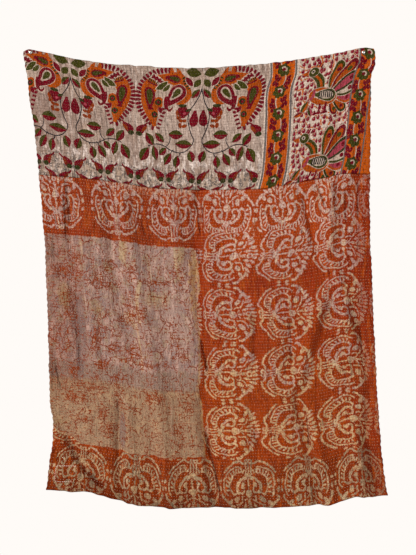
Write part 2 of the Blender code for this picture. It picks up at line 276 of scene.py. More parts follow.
def read_table(rows, key, column, at):
    """A smooth curve through one column of a table (Catmull-Rom)."""
    keys = np.array([getattr(row, key) for row in rows])
    values = np.array([getattr(row, column) for row in rows])
    last = len(keys) - 1
    i = np.clip(np.searchsorted(keys, at, side="left") - 1, 0, last - 1)
    span = keys[i + 1] - keys[i]
    share = (at - keys[i]) / span
    before, after = np.maximum(i - 1, 0), np.minimum(i + 2, last)
    leave = (values[i + 1] - values[before]) / (keys[i + 1] - keys[before]) * span
    arrive = (values[after] - values[i]) / (keys[after] - keys[i]) * span
    rise = values[i + 1] - values[i]
    return values[i] + share * (leave + share * (3.0 * rise - 2.0 * leave - arrive
                                                 + share * (leave + arrive - 2.0 * rise)))


def fold_x(fold, z):
    """Where the fold's line is at height z: a parabola through three points."""
    top, mid, low = fold.z_top, fold.z_mid, fold.z_low
    return (fold.x_top * (z - mid) * (z - low) / ((top - mid) * (top - low))
            + fold.x_mid * (z - top) * (z - low) / ((mid - top) * (mid - low))
            + fold.x_low * (z - top) * (z - mid) / ((low - top) * (low - mid)))


def fold_rise(fold, x, z):
    """How far one fold lifts the cloth towards the viewer at (x, z)."""
    aside = x - fold_x(fold, z)
    width = np.where(aside < 0.0, fold.left, fold.right)
    along = (smooth_step(fold.z_low, fold.z_low + fold.fade, z)
             * (1.0 - smooth_step(fold.z_top - fold.fade, fold.z_top, z)))
    return fold.rise * along * np.exp(-(aside / width) ** 2)


def crease_rise(crease, x, z):
    """How far one crease lifts the cloth towards the viewer at (x, z)."""
    right = x / PICTURE_UNIT + PICTURE_ORIGIN[0] - crease.x_from
    down = PICTURE_ORIGIN[1] - z / PICTURE_UNIT - crease.y_from
    run, drop_ = crease.x_to - crease.x_from, crease.y_to - crease.y_from
    length = hypot(run, drop_)
    along = (right * run + down * drop_) / length ** 2
    aside = (right * drop_ - down * run) / length - crease.bow * 4.0 * along * (1.0 - along)
    shown = smooth_step(0.0, 0.3, along) * (1.0 - smooth_step(0.7, 1.0, along))
    return crease.rise * MM * shown * np.exp(-(aside / crease.width) ** 2)


def stand_off(x, z):
    """Distance from the wall to the middle of the cloth."""
    free = TOP_STAND_OFF + (BODY_STAND_OFF - TOP_STAND_OFF) * smooth_step(0.0, SETTLE_DROP, -z)
    for fold in FOLDS:
        free = free + fold_rise(fold, x, z)
    from_pin = np.hypot(np.abs(x) - PIN_X, z)
    held = PINNED_STAND_OFF + (free - PINNED_STAND_OFF) * smooth_step(
        PINNED_FLAT_RADIUS, PINNED_FREE_RADIUS, from_pin)
    for fold in EAR_FOLDS:
        held = held + fold_rise(fold, x, z)
    return np.maximum(held, LEAST_STAND_OFF)


def drape(u, v):
    """Points of the cloth's middle layer at (u, v)."""
    left = read_table(SIDES, "v", "left", v)
    right = read_table(SIDES, "v", "right", v)
    x = left + (right - left) * u
    top = read_table(ACROSS, "u", "top", u)
    seam = read_table(ACROSS, "u", "seam", u)
    hem = read_table(ACROSS, "u", "hem", u)
    z = np.where(v < SEAM_V, top + (seam - top) * v / SEAM_V,
                 seam + (hem - seam) * (v - SEAM_V) / (1.0 - SEAM_V))
    return np.stack([x, -stand_off(x, z), z], axis=-1)


# ---------------------------------------------------------------------------
# Flat coordinates: s from the left edge and t from the top edge, along the
# cloth, in metres.
# ---------------------------------------------------------------------------
FLAT_COLUMNS = 260
FLAT_ROWS = 325


def flat_tables():
    """s and t on an even grid of (u, v)."""
    columns = np.linspace(0.0, 1.0, FLAT_COLUMNS + 1)
    rows = np.linspace(0.0, 1.0, FLAT_ROWS + 1)
    u, v = np.meshgrid(columns, rows)
    points = drape(u, v)
    across = np.linalg.norm(np.diff(points, axis=1), axis=2)
    s = np.concatenate([np.zeros((FLAT_ROWS + 1, 1)), np.cumsum(across, axis=1)], axis=1)
    s = s / s[:, -1:] * CUT_WIDTH
    down = np.linalg.norm(np.diff(points, axis=0), axis=2)
    t = np.concatenate([np.zeros((1, FLAT_COLUMNS + 1)), np.cumsum(down, axis=0)], axis=0)
    seam_row = int(round(SEAM_V * FLAT_ROWS))
    above = t / t[seam_row] * SEAM_T
    below = SEAM_T + (t - t[seam_row]) / (t[-1] - t[seam_row]) * (CUT_HEIGHT - SEAM_T)
    return s, np.where(v <= v[seam_row], above, below)


def read_grid(grid, u, v):
    """Values between the points of an even grid of (u, v)."""
    rows, columns = grid.shape[0] - 1, grid.shape[1] - 1
    x, y = np.clip(u, 0, 1) * columns, np.clip(v, 0, 1) * rows
    i, j = np.minimum(x.astype(int), columns - 1), np.minimum(y.astype(int), rows - 1)
    x, y = x - i, y - j
    return ((grid[j, i] * (1 - x) + grid[j, i + 1] * x) * (1 - y)
            + (grid[j + 1, i] * (1 - x) + grid[j + 1, i + 1] * x) * y)


def noise(x, y, seed):
    """Smooth noise from -1 to 1, with one random value at each whole (x, y)."""
    column, row = np.floor(x).astype(int), np.floor(y).astype(int)
    x, y = x - column, y - row
    column, row = column - column.min(), row - row.min()
    draws = np.random.default_rng(seed).uniform(-1.0, 1.0, (row.max() + 2, column.max() + 2))
    x, y = x * x * (3 - 2 * x), y * y * (3 - 2 * y)
    return ((draws[row, column] * (1 - x) + draws[row, column + 1] * x) * (1 - y)
            + (draws[row + 1, column] * (1 - x) + draws[row + 1, column + 1] * x) * y)


# ---------------------------------------------------------------------------
# The sheets.
# ---------------------------------------------------------------------------
CLOTH_THICKNESS = 0.0024
STITCH_ROW_PITCH = 0.0110
UPPER_ROWS = 84             # two to each row of stitches
LOWER_ROWS = 212
UPPER_COLUMNS = 300
LOWER_COLUMNS = 230
ROW_DRIFT = 0.0009          # how far a row wanders up and down, in v

# Around the pins the cloth is held flat.
HELD_SHARE = 0.25
HELD_RADIUS = 0.015
HELD_FREE_RADIUS = 0.070

RIPPLE_RISE = 0.00045       # the puff between two rows of stitches
FOOT_CRUMPLE_RISE = 0.0016

# Wrinkles finer than the creases: how far each kind rises and its size across
# and down, in metres. slant is the drop in which its lines move over by one
# size, and bend is how many sizes they sway.
Wrinkle = namedtuple("Wrinkle", "rise size_s size_t seed slant bend bend_s bend_t bend_seed",
                     defaults=(inf, 0.0, 1.0, 1.0, 0))
WRINKLES = (
    Wrinkle(0.0007, 0.027, 0.0125, 12, inf, 0.3, 0.09, 0.05, 21),
    Wrinkle(0.0011, 0.012, 0.060, 13),
    Wrinkle(0.0020, 0.048, 0.24, 14, inf, 0.8, 0.2, 0.25, 22),
    Wrinkle(0.0012, 0.030, 0.085, 15, 0.19),
)

# The ragged outline: how far in from each edge it fades, and its rise and fall.
SIDE_REACH = 0.010
END_REACH = 0.012
SIDE_SCALLOP = 0.0011
SIDE_RAGGED = 0.0016
TOP_RAGGED = 0.0018
HEM_RAGGED = 0.0022

SEAM_LIP = 0.0008           # how far the seam stands out at the upper panel's foot
SEAM_LIP_REACH = 0.005

Sheet = namedtuple("Sheet", "front back flat normals rows columns")


def surface_normals(points):
    """Unit normals towards the viewer of a grid of points."""
    across = np.gradient(points, axis=1)
    down = np.gradient(points, axis=0)
    normals = np.cross(down, across)
    return normals / np.linalg.norm(normals, axis=2, keepdims=True)


def fine_relief(s, t, x, z, row):
    """Wrinkles and stitch puckers, towards the viewer, on top of the folds."""
    puff = (-1.0) ** (row + 1)
    swing = 0.75 + 0.6 * noise(s / 0.031, row * 0.5, 11)
    relief = RIPPLE_RISE * puff * swing
    for kind in WRINKLES:
        across = s / kind.size_s + t / kind.slant
        if kind.bend:
            across = across + kind.bend * noise(s / kind.bend_s, t / kind.bend_t, kind.bend_seed)
        relief += kind.rise * noise(across, t / kind.size_t, kind.seed)
    # The foot of the printed panel is drawn up into small crumples.
    foot = smooth_step(0.29, 0.36, t) * (1.0 - smooth_step(0.44, 0.47, t))
    relief += FOOT_CRUMPLE_RISE * foot * noise(s / 0.019 + t / 0.045, t / 0.034, 16)
    for crease in CREASES:
        relief = relief + crease_rise(crease, x, z)
    from_pin = np.hypot(np.abs(x) - PIN_X, z)
    free = smooth_step(HELD_RADIUS, HELD_FREE_RADIUS, from_pin)
    return relief * (HELD_SHARE + (1.0 - HELD_SHARE) * free)


def ragged_edges(points, s, t, v_top, v_low, columns):
    """Pull the outline in and out a little, as rows of stitches do to an edge."""
    moved = points.copy()
    side = np.linspace(0.0, 1.0, columns + 1)[None, :]
    near_left = np.exp(-(side * CUT_WIDTH / SIDE_REACH))
    near_right = np.exp(-((1.0 - side) * CUT_WIDTH / SIDE_REACH))
    scallop = SIDE_SCALLOP * np.cos(2 * pi * t / STITCH_ROW_PITCH / 2.0)
    pull = scallop + SIDE_RAGGED * noise(s * 3, t / 0.021, 31)
    moved[..., 0] += near_left * pull - near_right * pull[:, ::-1]
    if v_top == 0.0:
        near_top = np.exp(-t / END_REACH)
        moved[..., 2] += near_top * TOP_RAGGED * noise(s / 0.019, t * 3, 32)
    if v_low == 1.0:
        near_hem = np.exp(-(CUT_HEIGHT - t) / END_REACH)
        moved[..., 2] += near_hem * HEM_RAGGED * noise(s / 0.023, t * 3, 33)
    return moved


def make_sheet(v_top, v_low, rows, columns, tables):
    """The fine surface of one panel."""
    u, v = np.meshgrid(np.linspace(0.0, 1.0, columns + 1), np.linspace(v_top, v_low, rows + 1))
    row = np.repeat(np.arange(rows + 1.0)[:, None], columns + 1, axis=1)
    inside = np.sin(pi * (v - v_top) / (v_low - v_top)) ** 0.5
    v = v + inside * ROW_DRIFT * noise(u * 14, row / 5.0, 41)
    s, t = read_grid(tables[0], u, v), read_grid(tables[1], u, v)
    points = ragged_edges(drape(u, v), s, t, v_top, v_low, columns)
    normals = surface_normals(points)
    relief = fine_relief(s, t, points[..., 0], points[..., 2], row)
    if v_top == 0.0:
        seam_lip = SEAM_LIP * np.exp(-np.abs(t - SEAM_T) / SEAM_LIP_REACH)
    else:
        seam_lip = -SEAM_TUCK * np.exp(-np.maximum(t - SEAM_T, 0.0) / SEAM_LIP_REACH)
    points = points + normals * (relief + seam_lip)[..., None]
    normals = surface_normals(points)
    half = 0.5 * CLOTH_THICKNESS
    flat = np.stack([s, t, row * 0.5], axis=-1)
    return Sheet(points + normals * half, points - normals * half, flat, normals, rows, columns)


# The baked picture, as shares of its height: the front, then the back, then a
# strip for the rim.
FRONT_SHARE = 0.86
BACK_TOP = 0.97
RIM_STRIP = (0.975, 0.975, 0.990, 0.990)
BAKE_MARGIN = 0.004


def grid_faces(rows, columns, first, flip):
    """Quads of one layer of a sheet, facing the viewer unless flipped."""
    j, i = np.meshgrid(np.arange(rows), np.arange(columns), indexing="ij")
    corner = first + j * (columns + 1) + i
    quad = [corner, corner + columns + 1, corner + columns + 2, corner + 1]
    if flip:
        quad.reverse()
    return np.stack(quad, axis=-1).reshape(-1, 4)


def rim_faces(rows, columns, layer):
    """Quads that join the two layers round the outline."""
    width = columns + 1
    top = np.arange(columns + 1)
    right = columns + width * np.arange(rows + 1)
    low = top + rows * width
    left = width * np.arange(rows + 1)
    loop = np.concatenate([top[:-1], right[:-1], low[:0:-1], left[:0:-1]])
    ahead = np.roll(loop, -1)
    return np.stack([loop, ahead, ahead + layer, loop + layer], axis=-1)


def sheet_object(name, sheet, front_material, back_material):
    """One closed mesh from a sheet's two layers and its rim."""
    layer = (sheet.rows + 1) * (sheet.columns + 1)
    points = np.concatenate([sheet.front.reshape(-1, 3), sheet.back.reshape(-1, 3)])
    front = grid_faces(sheet.rows, sheet.columns, 0, False)
    back = grid_faces(sheet.rows, sheet.columns, layer, True)
    rim = rim_faces(sheet.rows, sheet.columns, layer)
    faces = np.concatenate([front, back, rim])
    mesh = bpy.data.meshes.new(name)
    mesh.from_pydata(points.tolist(), [], faces.tolist())
    mesh.materials.append(front_material)
    mesh.materials.append(back_material)
    slots = np.zeros(len(faces), int)
    slots[len(front):len(front) + len(back)] = 1
    mesh.polygons.foreach_set("material_index", slots)
    mesh.polygons.foreach_set("use_smooth", np.ones(len(faces), bool))
    flat = np.concatenate([sheet.flat.reshape(-1, 3)] * 2)
    attribute = mesh.attributes.new("flat", "FLOAT_VECTOR", "POINT")
    attribute.data.foreach_set("vector", flat.ravel())
    add_bake_map(mesh, flat, faces, len(front), len(back))
    made = bpy.data.objects.new(name, mesh)
    bpy.context.scene.collection.objects.link(made)
    return made


def add_bake_map(mesh, flat, faces, front_count, back_count):
    """A map for baking: the front over most of it, the back and the rim in strips."""
    across = flat[:, 0] / CUT_WIDTH
    low, high = flat[:, 1].min(), flat[:, 1].max()
    down = (high - flat[:, 1]) / (high - low)
    u = np.clip(across, 0, 1)[faces] * (1 - 2 * BAKE_MARGIN) + BAKE_MARGIN
    v = down[faces] * (FRONT_SHARE - 2 * BAKE_MARGIN) + BAKE_MARGIN
    back = slice(front_count, front_count + back_count)
    back_height = BACK_TOP - FRONT_SHARE - 2 * BAKE_MARGIN
    v[back] = FRONT_SHARE + BAKE_MARGIN + down[faces[back]] * back_height
    rim = slice(front_count + back_count, None)
    count = len(faces) - front_count - back_count
    step = (1 - 2 * BAKE_MARGIN) * np.arange(count + 1) / count + BAKE_MARGIN
    u[rim] = np.stack([step[:-1], step[1:], step[1:], step[:-1]], axis=-1)
    v[rim] = np.array(RIM_STRIP)
    layer = mesh.uv_layers.new(name="OFBake")
    layer.data.foreach_set("uv", np.stack([u, v], axis=-1).ravel())


# ---------------------------------------------------------------------------
# Running stitch: threads that rise out of the cloth and dip in again.
# ---------------------------------------------------------------------------
STITCH_PITCH = 0.0100
FRONT_STITCH = 0.0046
BACK_STITCH = 0.0036
THREAD_WIDTH = 0.0015
THREAD_RISE = 0.00070
EDGE_MARGIN = 0.006
STITCH_SCATTER = 0.0005     # along the row
STITCH_SLOPE = 0.00012      # up and down, over THREAD_STEP
THREAD_STEP = 0.002
SKIPPED_SHARE = 0.03
SHORTEST_SHARE = 0.8        # of a stitch's length
LONGEST_SHARE = 1.15


def stitch_mesh(name, centres, alongs, normals, lengths, width, rise, tints, surface):
    """Many small rounded threads in one mesh, each a long double pyramid."""
    sides = np.cross(normals, alongs)
    half = 0.5 * lengths[:, None]
    corners = np.stack([
        centres - alongs * half,
        centres + alongs * half,
        centres - sides * 0.5 * width,
        centres + sides * 0.5 * width,
        centres + normals * rise,
        centres - normals * rise,
    ], axis=1)
    pattern = np.array([
        (0, 2, 4), (2, 1, 4), (1, 3, 4), (3, 0, 4),
        (2, 0, 5), (1, 2, 5), (3, 1, 5), (0, 3, 5),
    ])
    faces = (pattern[None] + 6 * np.arange(len(centres))[:, None, None]).reshape(-1, 3)
    mesh = bpy.data.meshes.new(name)
    mesh.from_pydata(corners.reshape(-1, 3).tolist(), [], faces.tolist())
    mesh.polygons.foreach_set("use_smooth", np.ones(len(faces), bool))
    attribute = mesh.attributes.new("tint", "FLOAT", "POINT")
    attribute.data.foreach_set("value", np.repeat(tints, 6).astype(np.float32))
    mesh.materials.append(surface)
    made = bpy.data.objects.new(name, mesh)
    bpy.context.scene.collection.objects.link(made)
    return made


def running_stitches(sheet, layer, normal_sign, length, offset, seed):
    """Places of the stitches along every second row of a sheet."""
    draw = np.random.default_rng(seed)
    centres, alongs, normals, lengths, tints = [], [], [], [], []
    for row in range(2, sheet.rows - 1, 2):
        s = sheet.flat[row, :, 0]
        phase = draw.uniform(0, STITCH_PITCH)
        spots = np.arange(EDGE_MARGIN + phase + offset, CUT_WIDTH - EDGE_MARGIN, STITCH_PITCH)
        spots = spots + draw.normal(0, STITCH_SCATTER, len(spots))
        spots = spots[draw.uniform(0, 1, len(spots)) > SKIPPED_SHARE]
        place = [np.interp(spots, s, layer[row, :, axis]) for axis in range(3)]
        ahead = [np.interp(spots + THREAD_STEP, s, layer[row, :, axis]) for axis in range(3)]
        lean = [np.interp(spots, s, sheet.normals[row, :, axis]) for axis in range(3)]
        place, ahead = np.stack(place, -1), np.stack(ahead, -1)
        lean = np.stack(lean, -1) * normal_sign
        along = ahead - place
        along[:, 2] += draw.normal(0, STITCH_SLOPE, len(spots))
        centres.append(place)
        alongs.append(along / np.linalg.norm(along, axis=1, keepdims=True))
        normals.append(lean / np.linalg.norm(lean, axis=1, keepdims=True))
        lengths.append(length * draw.uniform(SHORTEST_SHARE, LONGEST_SHARE, len(spots)))
        row_tint = draw.uniform(0, 1) * 0.5
        tints.append(np.clip(row_tint + draw.uniform(0, 0.5, len(spots)), 0, 1))
    return [np.concatenate(part) for part in (centres, alongs, normals, lengths, tints)]


# Three sides of a small outline sewn by hand near the lower left corner: its
# corners' s and t in mm.
SEWN_CORNERS = ((98, 1526), (27, 1526), (27, 1585), (90, 1582))
SEWN_STEP = 0.0064
SEWN_LENGTH = 0.0062
SEWN_WIDTH = 0.0036


def point_on(sheet, grid, s, t):
    """One grid's value at (s, t) along the cloth."""
    row, column = 0.5 * sheet.rows, 0.5 * sheet.columns
    for _ in range(4):
        column = np.interp(s, sheet.flat[int(round(row)), :, 0], np.arange(sheet.columns + 1))
        row = np.interp(t, sheet.flat[:, int(round(column)), 1], np.arange(sheet.rows + 1))
    return np.array([read_grid(grid[..., axis], column / sheet.columns, row / sheet.rows)
                     for axis in range(3)])


def sewn_outline(sheet):
    """Places of the stitches along SEWN_CORNERS."""
    corners = np.array(SEWN_CORNERS) * MM
    centres, alongs, normals = [], [], []
    for start, end in zip(corners[:-1], corners[1:]):
        count = int(np.linalg.norm(end - start) / SEWN_STEP)
        for share in (np.arange(count) + 0.5) / count:
            s, t = start + (end - start) * share
            ahead_s, ahead_t = start + (end - start) * (share + 0.25 / count)
            place = point_on(sheet, sheet.front, s, t)
            along = point_on(sheet, sheet.front, ahead_s, ahead_t) - place
            centres.append(place)
            alongs.append(along / np.linalg.norm(along))
            normals.append(point_on(sheet, sheet.normals, s, t))
    lengths = np.full(len(centres), SEWN_LENGTH)
    return np.array(centres), np.array(alongs), np.array(normals), lengths, np.zeros(len(centres))


# ---------------------------------------------------------------------------
# Node arithmetic. Nodes are made in the order in which they are worked out.
# ---------------------------------------------------------------------------
def srgb(red, green, blue):
    """A screen colour, 0 to 255, as linear light."""
    def linear(part):
        part /= 255.0
        return part / 12.92 if part <= 0.04045 else ((part + 0.055) / 1.055) ** 2.4
    return (linear(red), linear(green), linear(blue), 1.0)


def feed(tree, slot, item):
    """Set a node's input from a value, a socket or a constant."""
    if isinstance(item, Value):
        item = item.socket
    if isinstance(item, bpy.types.NodeSocket):
        tree.links.new(item, slot)
    else:
        slot.default_value = item


def calculate(tree, operation, *terms):
    """A Math node."""
    node = tree.nodes.new("ShaderNodeMath")
    node.operation = operation
    for slot, term in zip(node.inputs, terms):
        feed(tree, slot, term)
    return Value(tree, node.outputs[0])


def vector_math(tree, operation, *terms):
    """A Vector Math node's result."""
    node = tree.nodes.new("ShaderNodeVectorMath")
    node.operation = operation
    for slot, term in zip(node.inputs, terms):
        feed(tree, slot, term)
    return node.outputs["Vector"]


def split_vector(tree, vector):
    """A vector's three numbers."""
    node = tree.nodes.new("ShaderNodeSeparateXYZ")
    feed(tree, node.inputs[0], vector)
    return [Value(tree, part) for part in node.outputs]


class Value:
    """A number that changes over the surface."""

    def __init__(self, tree, socket):
        self.tree = tree
        self.socket = socket

    def __add__(self, other):
        return calculate(self.tree, "ADD", self, other)

    def __sub__(self, other):
        return calculate(self.tree, "SUBTRACT", self, other)

    def __rsub__(self, other):
        return calculate(self.tree, "SUBTRACT", other, self)

    def __mul__(self, other):
        return calculate(self.tree, "MULTIPLY", self, other)

    def __truediv__(self, other):
        return calculate(self.tree, "DIVIDE", self, other)

    def __lt__(self, other):
        return calculate(self.tree, "LESS_THAN", self, other)

    def __gt__(self, other):
        return calculate(self.tree, "GREATER_THAN", self, other)

    __radd__ = __add__
    __rmul__ = __mul__

    def size(self):
        return calculate(self.tree, "ABSOLUTE", self)

    def sine(self):
        return calculate(self.tree, "SINE", self)

    def times_plus(self, factor, term):
        return calculate(self.tree, "MULTIPLY_ADD", self, factor, term)

    def at_least(self, other):
        return calculate(self.tree, "MAXIMUM", self, other)

    def at_most(self, other):
        return calculate(self.tree, "MINIMUM", self, other)

    def wrapped(self, pitch):
        return calculate(self.tree, "FLOORED_MODULO", self, pitch)

    def mirrored(self, half_pitch):
        return calculate(self.tree, "PINGPONG", self, half_pitch)

    def ramp(self, low, high, to_low=0.0, to_high=1.0):
        """to_low below low, to_high above high, and straight between."""
        node = self.tree.nodes.new("ShaderNodeMapRange")
        node.clamp = True
        for slot, item in zip(node.inputs, (self, low, high, to_low, to_high)):
            feed(self.tree, slot, item)
        return Value(self.tree, node.outputs[0])


def choose(first, second, share):
    """first where share is 0, second where it is 1."""
    node = share.tree.nodes.new("ShaderNodeMix")
    feed(share.tree, node.inputs[0], share)
    feed(share.tree, node.inputs[2], first)
    feed(share.tree, node.inputs[3], second)
    return Value(share.tree, node.outputs[0])


def mix_colours(tree, first, second, share, blend="MIX"):
    """The first colour where share is 0, the second over it where it is 1."""
    node = tree.nodes.new("ShaderNodeMix")
    node.data_type = "RGBA"
    node.blend_type = blend
    feed(tree, node.inputs[0], share)
    feed(tree, node.inputs[6], first)
    feed(tree, node.inputs[7], second)
    return node.outputs[2]


class Canvas:
    """A colour that shapes are painted over, one after another."""

    def __init__(self, tree, ground):
        self.tree = tree
        self.colour = ground

    def paint(self, share, colour, blend="MIX"):
        self.colour = mix_colours(self.tree, self.colour, colour, share, blend)

    def paint_tones(self, vector, tones):
        """Lay each tone's colour over where its noise is high."""
        for tone in tones:
            field = noise_value(self.tree, vector, 1 / tone.size, tone.detail, tone.rough,
                                tone.stretch)
            self.paint(field.ramp(tone.low, tone.high, 0.0, tone.share), tone.colour)


# A colour that comes and goes over the cloth: the size of its patches in mm,
# how stretched they are, and the noise values between which it fades in.
Tone = namedtuple("Tone", "size detail rough stretch low high share colour")


class Place:
    """Pattern coordinates in millimetres: x across and y downwards."""

    def __init__(self, x, y):
        self.tree = x.tree
        self.x = x
        self.y = y
        node = self.tree.nodes.new("ShaderNodeCombineXYZ")
        feed(self.tree, node.inputs[0], x)
        feed(self.tree, node.inputs[1], y)
        node.inputs[2].default_value = 1.0
        self.vector = node.outputs[0]

    def _vector_value(self, operation, other, output):
        node = self.tree.nodes.new("ShaderNodeVectorMath")
        node.operation = operation
        feed(self.tree, node.inputs[0], self.vector)
        node.inputs[1].default_value = other
        return Value(self.tree, node.outputs[output])

    def along(self, x, y, turn, unit=1.0, start=0.0):
        """Distance from (x, y) in the direction turn, in degrees."""
        step_x, step_y = cos(radians(turn)) / unit, sin(radians(turn)) / unit
        fixed = start - x * step_x - y * step_y
        return self._vector_value("DOT_PRODUCT", (step_x, step_y, fixed), 1)

    def distance(self, x, y):
        return self._vector_value("DISTANCE", (x, y, 1.0), 1)


# Shapes. Each gives a distance in millimetres, negative inside.
def oval(at, x, y, turn, length, width):
    """An ellipse, length along turn and width across it."""
    u = at.along(x, y, turn, 0.5 * length)
    v = at.along(x, y, turn + 90, 0.5 * width)
    return (v * v).times_plus(0.25 * width, (u * u).times_plus(0.25 * width, -0.25 * width))


def leaf(at, x, y, turn, length, width, bend=0.0):
    """Pointed at both ends."""
    u = at.along(x, y, turn, 0.5 * length)
    v = at.along(x, y, turn + 90, 0.5 * width)
    square = u * u
    if bend:
        v = square.times_plus(bend, v)
    return (square + v.size()).times_plus(0.5 * width, -0.5 * width)


DROP_FULLNESS = 27 / 32     # makes the widest part of a drop its width


def drop(at, x, y, turn, length, width, bend=0.0):
    """Round at the start and pointed at the end that turn points to."""
    u = at.along(x, y, turn, 0.5 * length)
    v = at.along(x, y, turn + 90, 0.5 * width)
    if bend:
        v = (u * u).times_plus(bend, v)
    taper = (1.0 - u).at_least(0.0)
    room = (taper * taper) * DROP_FULLNESS
    past_tip = u.times_plus(0.5 * length, -0.5 * length)
    return ((v * v - u.times_plus(room, room)) * (0.25 * width)).at_least(past_tip)


def along_stroke(at, x_from, y_from, x_to, y_to, unit, bulge=0.0):
    """A stroke's coordinates: -1 to 1 along it, and units across it, with its half length."""
    x, y = 0.5 * (x_from + x_to), 0.5 * (y_from + y_to)
    half = 0.5 * hypot(x_to - x_from, y_to - y_from)
    turn = degrees(atan2(y_to - y_from, x_to - x_from))
    u = at.along(x, y, turn, half)
    v = at.along(x, y, turn + 90, unit, start=-bulge)
    if bulge:
        v = (u * u).times_plus(bulge, v)
    return u, v, half


def line(at, x_from, y_from, x_to, y_to, width, bulge=0.0):
    """A stroke, which may bow aside by bulge at its middle."""
    u, v, half = along_stroke(at, x_from, y_from, x_to, y_to, 1.0, bulge)
    past_end = u.size().times_plus(half, -half)
    return (v.size() - 0.5 * width).at_least(past_end)


def beads(at, x_from, y_from, x_to, y_to, width, count, bulge=0.0):
    """A stroke that is broken into count dashes across its line."""
    u, v, half = along_stroke(at, x_from, y_from, x_to, y_to, 1.0, bulge)
    field = (v.size() - 0.5 * width).at_least(u.size().times_plus(half, -half))
    wave = (u * (pi * count)).sine()
    return field.at_least(wave * (half / count))


def new_material(name, roughness):
    """A material, its nodes and its Principled shader."""
    made = bpy.data.materials.new(name)
    made.use_nodes = True
    shader = made.node_tree.nodes["Principled BSDF"]
    shader.inputs["Roughness"].default_value = roughness
    return made, made.node_tree, shader


def read_attribute(tree, name):
    node = tree.nodes.new("ShaderNodeAttribute")
    node.attribute_name = name
    return node


def noise_node(tree, vector, scale, detail=2.0, roughness=0.5, stretch=None):
    """A 2D noise texture, 0 to 1; stretch scales its two axes first."""
    if stretch:
        vector = vector_math(tree, "MULTIPLY", vector, (*stretch, 1.0))
    node = tree.nodes.new("ShaderNodeTexNoise")
    node.noise_dimensions = "2D"
    feed(tree, node.inputs["Vector"], vector)
    node.inputs["Scale"].default_value = scale
    node.inputs["Detail"].default_value = detail
    node.inputs["Roughness"].default_value = roughness
    return node


def noise_value(tree, vector, scale, detail=2.0, roughness=0.5, stretch=None):
    return Value(tree, noise_node(tree, vector, scale, detail, roughness, stretch).outputs[0])


class Cloth:
    """The flat coordinates that a cloth's pattern is drawn in, in millimetres."""

    def __init__(self, tree, waver):
        self.tree = tree
        raw = read_attribute(tree, "flat").outputs["Vector"]
        self.vector = vector_math(tree, "MULTIPLY", raw, (1000.0, 1000.0, 1.0))
        shake = noise_node(tree, self.vector, 1 / 9.0, detail=3.0, roughness=0.65)
        reach = (2 * waver, 2 * waver, 0.0)
        moved = vector_math(tree, "MULTIPLY_ADD", shake.outputs[1], reach, self.vector)
        s, t, self.row = split_vector(tree, moved)
        self.s = s - waver
        self.t = t - waver

    def on_stitches(self):
        """1 along a row of stitches, -1 midway between two rows."""
        return (self.row * (2 * pi) + pi * 0.5).sine()


def add_bump(tree, shader, height, distance):
    node = tree.nodes.new("ShaderNodeBump")
    node.inputs["Strength"].default_value = 1.0
    node.inputs["Distance"].default_value = distance
    feed(tree, node.inputs["Height"], height)
    tree.links.new(node.outputs[0], shader.inputs["Normal"])


# Pressed creases, too narrow for the mesh: from and to in mm along the cloth,
# half width in mm, and rise in bump distances, up or down.
SharpCrease = namedtuple("SharpCrease", "s_from t_from s_to t_to width rise")


def sharp_creases(at, rows):
    """Height of pressed creases, tent-shaped and fading at their ends."""
    total = None
    for row in rows:
        u, v, _ = along_stroke(at, row.s_from, row.t_from, row.s_to, row.t_to, row.width)
        height = v.size().ramp(1.0, 0.0, 0.0, row.rise) * (u * u).ramp(1.0, 0.4)
        total = height if total is None else total + height
    return total


# Heights of the cloth's bump, in bump distances.
BUMP_DISTANCE = 0.0032
PUFF_HEIGHT = -0.16
PUCKER_HEIGHT = 1.4
CRUMPLE_HEIGHT = 1.3
WEAVE_HEIGHT = 0.16


def cloth_relief(tree, cloth, rib_height):
    """Height of the weave, of the ribs and of the puffs between stitches."""
    puff = cloth.on_stitches() * PUFF_HEIGHT
    ribs = noise_value(tree, cloth.vector, 1 / 9.0, 1.5, 0.6, (1.0, 0.11))
    pucker = noise_value(tree, cloth.vector, 1 / 10.0, 2.0, 0.6, (1.0, 0.45))
    crumple = noise_value(tree, cloth.vector, 1 / 8.0, 3.0, 0.7)
    warp = noise_value(tree, cloth.vector, 1 / 1.6, 1.0, 0.5, (1.0, 0.06))
    weft = noise_value(tree, cloth.vector, 1 / 1.6, 1.0, 0.5, (0.06, 1.0))
    worked = puff + ribs * rib_height + pucker * PUCKER_HEIGHT + crumple * CRUMPLE_HEIGHT
    return worked + (warp + weft) * WEAVE_HEIGHT


# ---------------------------------------------------------------------------
# The upper panel's print, on unbleached tussar.
# ---------------------------------------------------------------------------
GROUND = srgb(174, 147, 132)
HALO = srgb(200, 176, 156)
CRIMSON = srgb(112, 1, 22)
GREEN = srgb(64, 62, 12)
DULL_GREEN = srgb(48, 50, 14)
ORANGE = srgb(174, 73, 2)
DARK_ORANGE = srgb(140, 52, 6)
BAND_ORANGE = srgb(198, 86, 8)
VINE = srgb(32, 28, 36)
GREY = srgb(112, 102, 98)
BLACK = srgb(26, 23, 30)
PINK = srgb(168, 62, 76)
SLUB = srgb(138, 106, 90)

# The patterns are tables of shapes in mm. A shape with two colours has the
# other one on its far side, halo is the bare cloth left round it, and bulge and
# bend bow it aside.
Shape = namedtuple("Shape", "form x y turn length width colour other halo bend",
                   defaults=(None, None, 0.0, 0.0))
Stroke = namedtuple("Stroke", "x_from y_from x_to y_to width bulge colour halo",
                    defaults=(None, 0.0))
Beads = namedtuple("Beads", "x_from y_from x_to y_to width count bulge colour")


def stems(colour, rows):
    """Strokes of one colour."""
    return [Stroke(*row, colour) for row in rows]


def leaves(colour, other, rows):
    """Leaves of one colour, or of one above and the other below."""
    return [Shape("leaf", *row, colour, other) for row in rows]


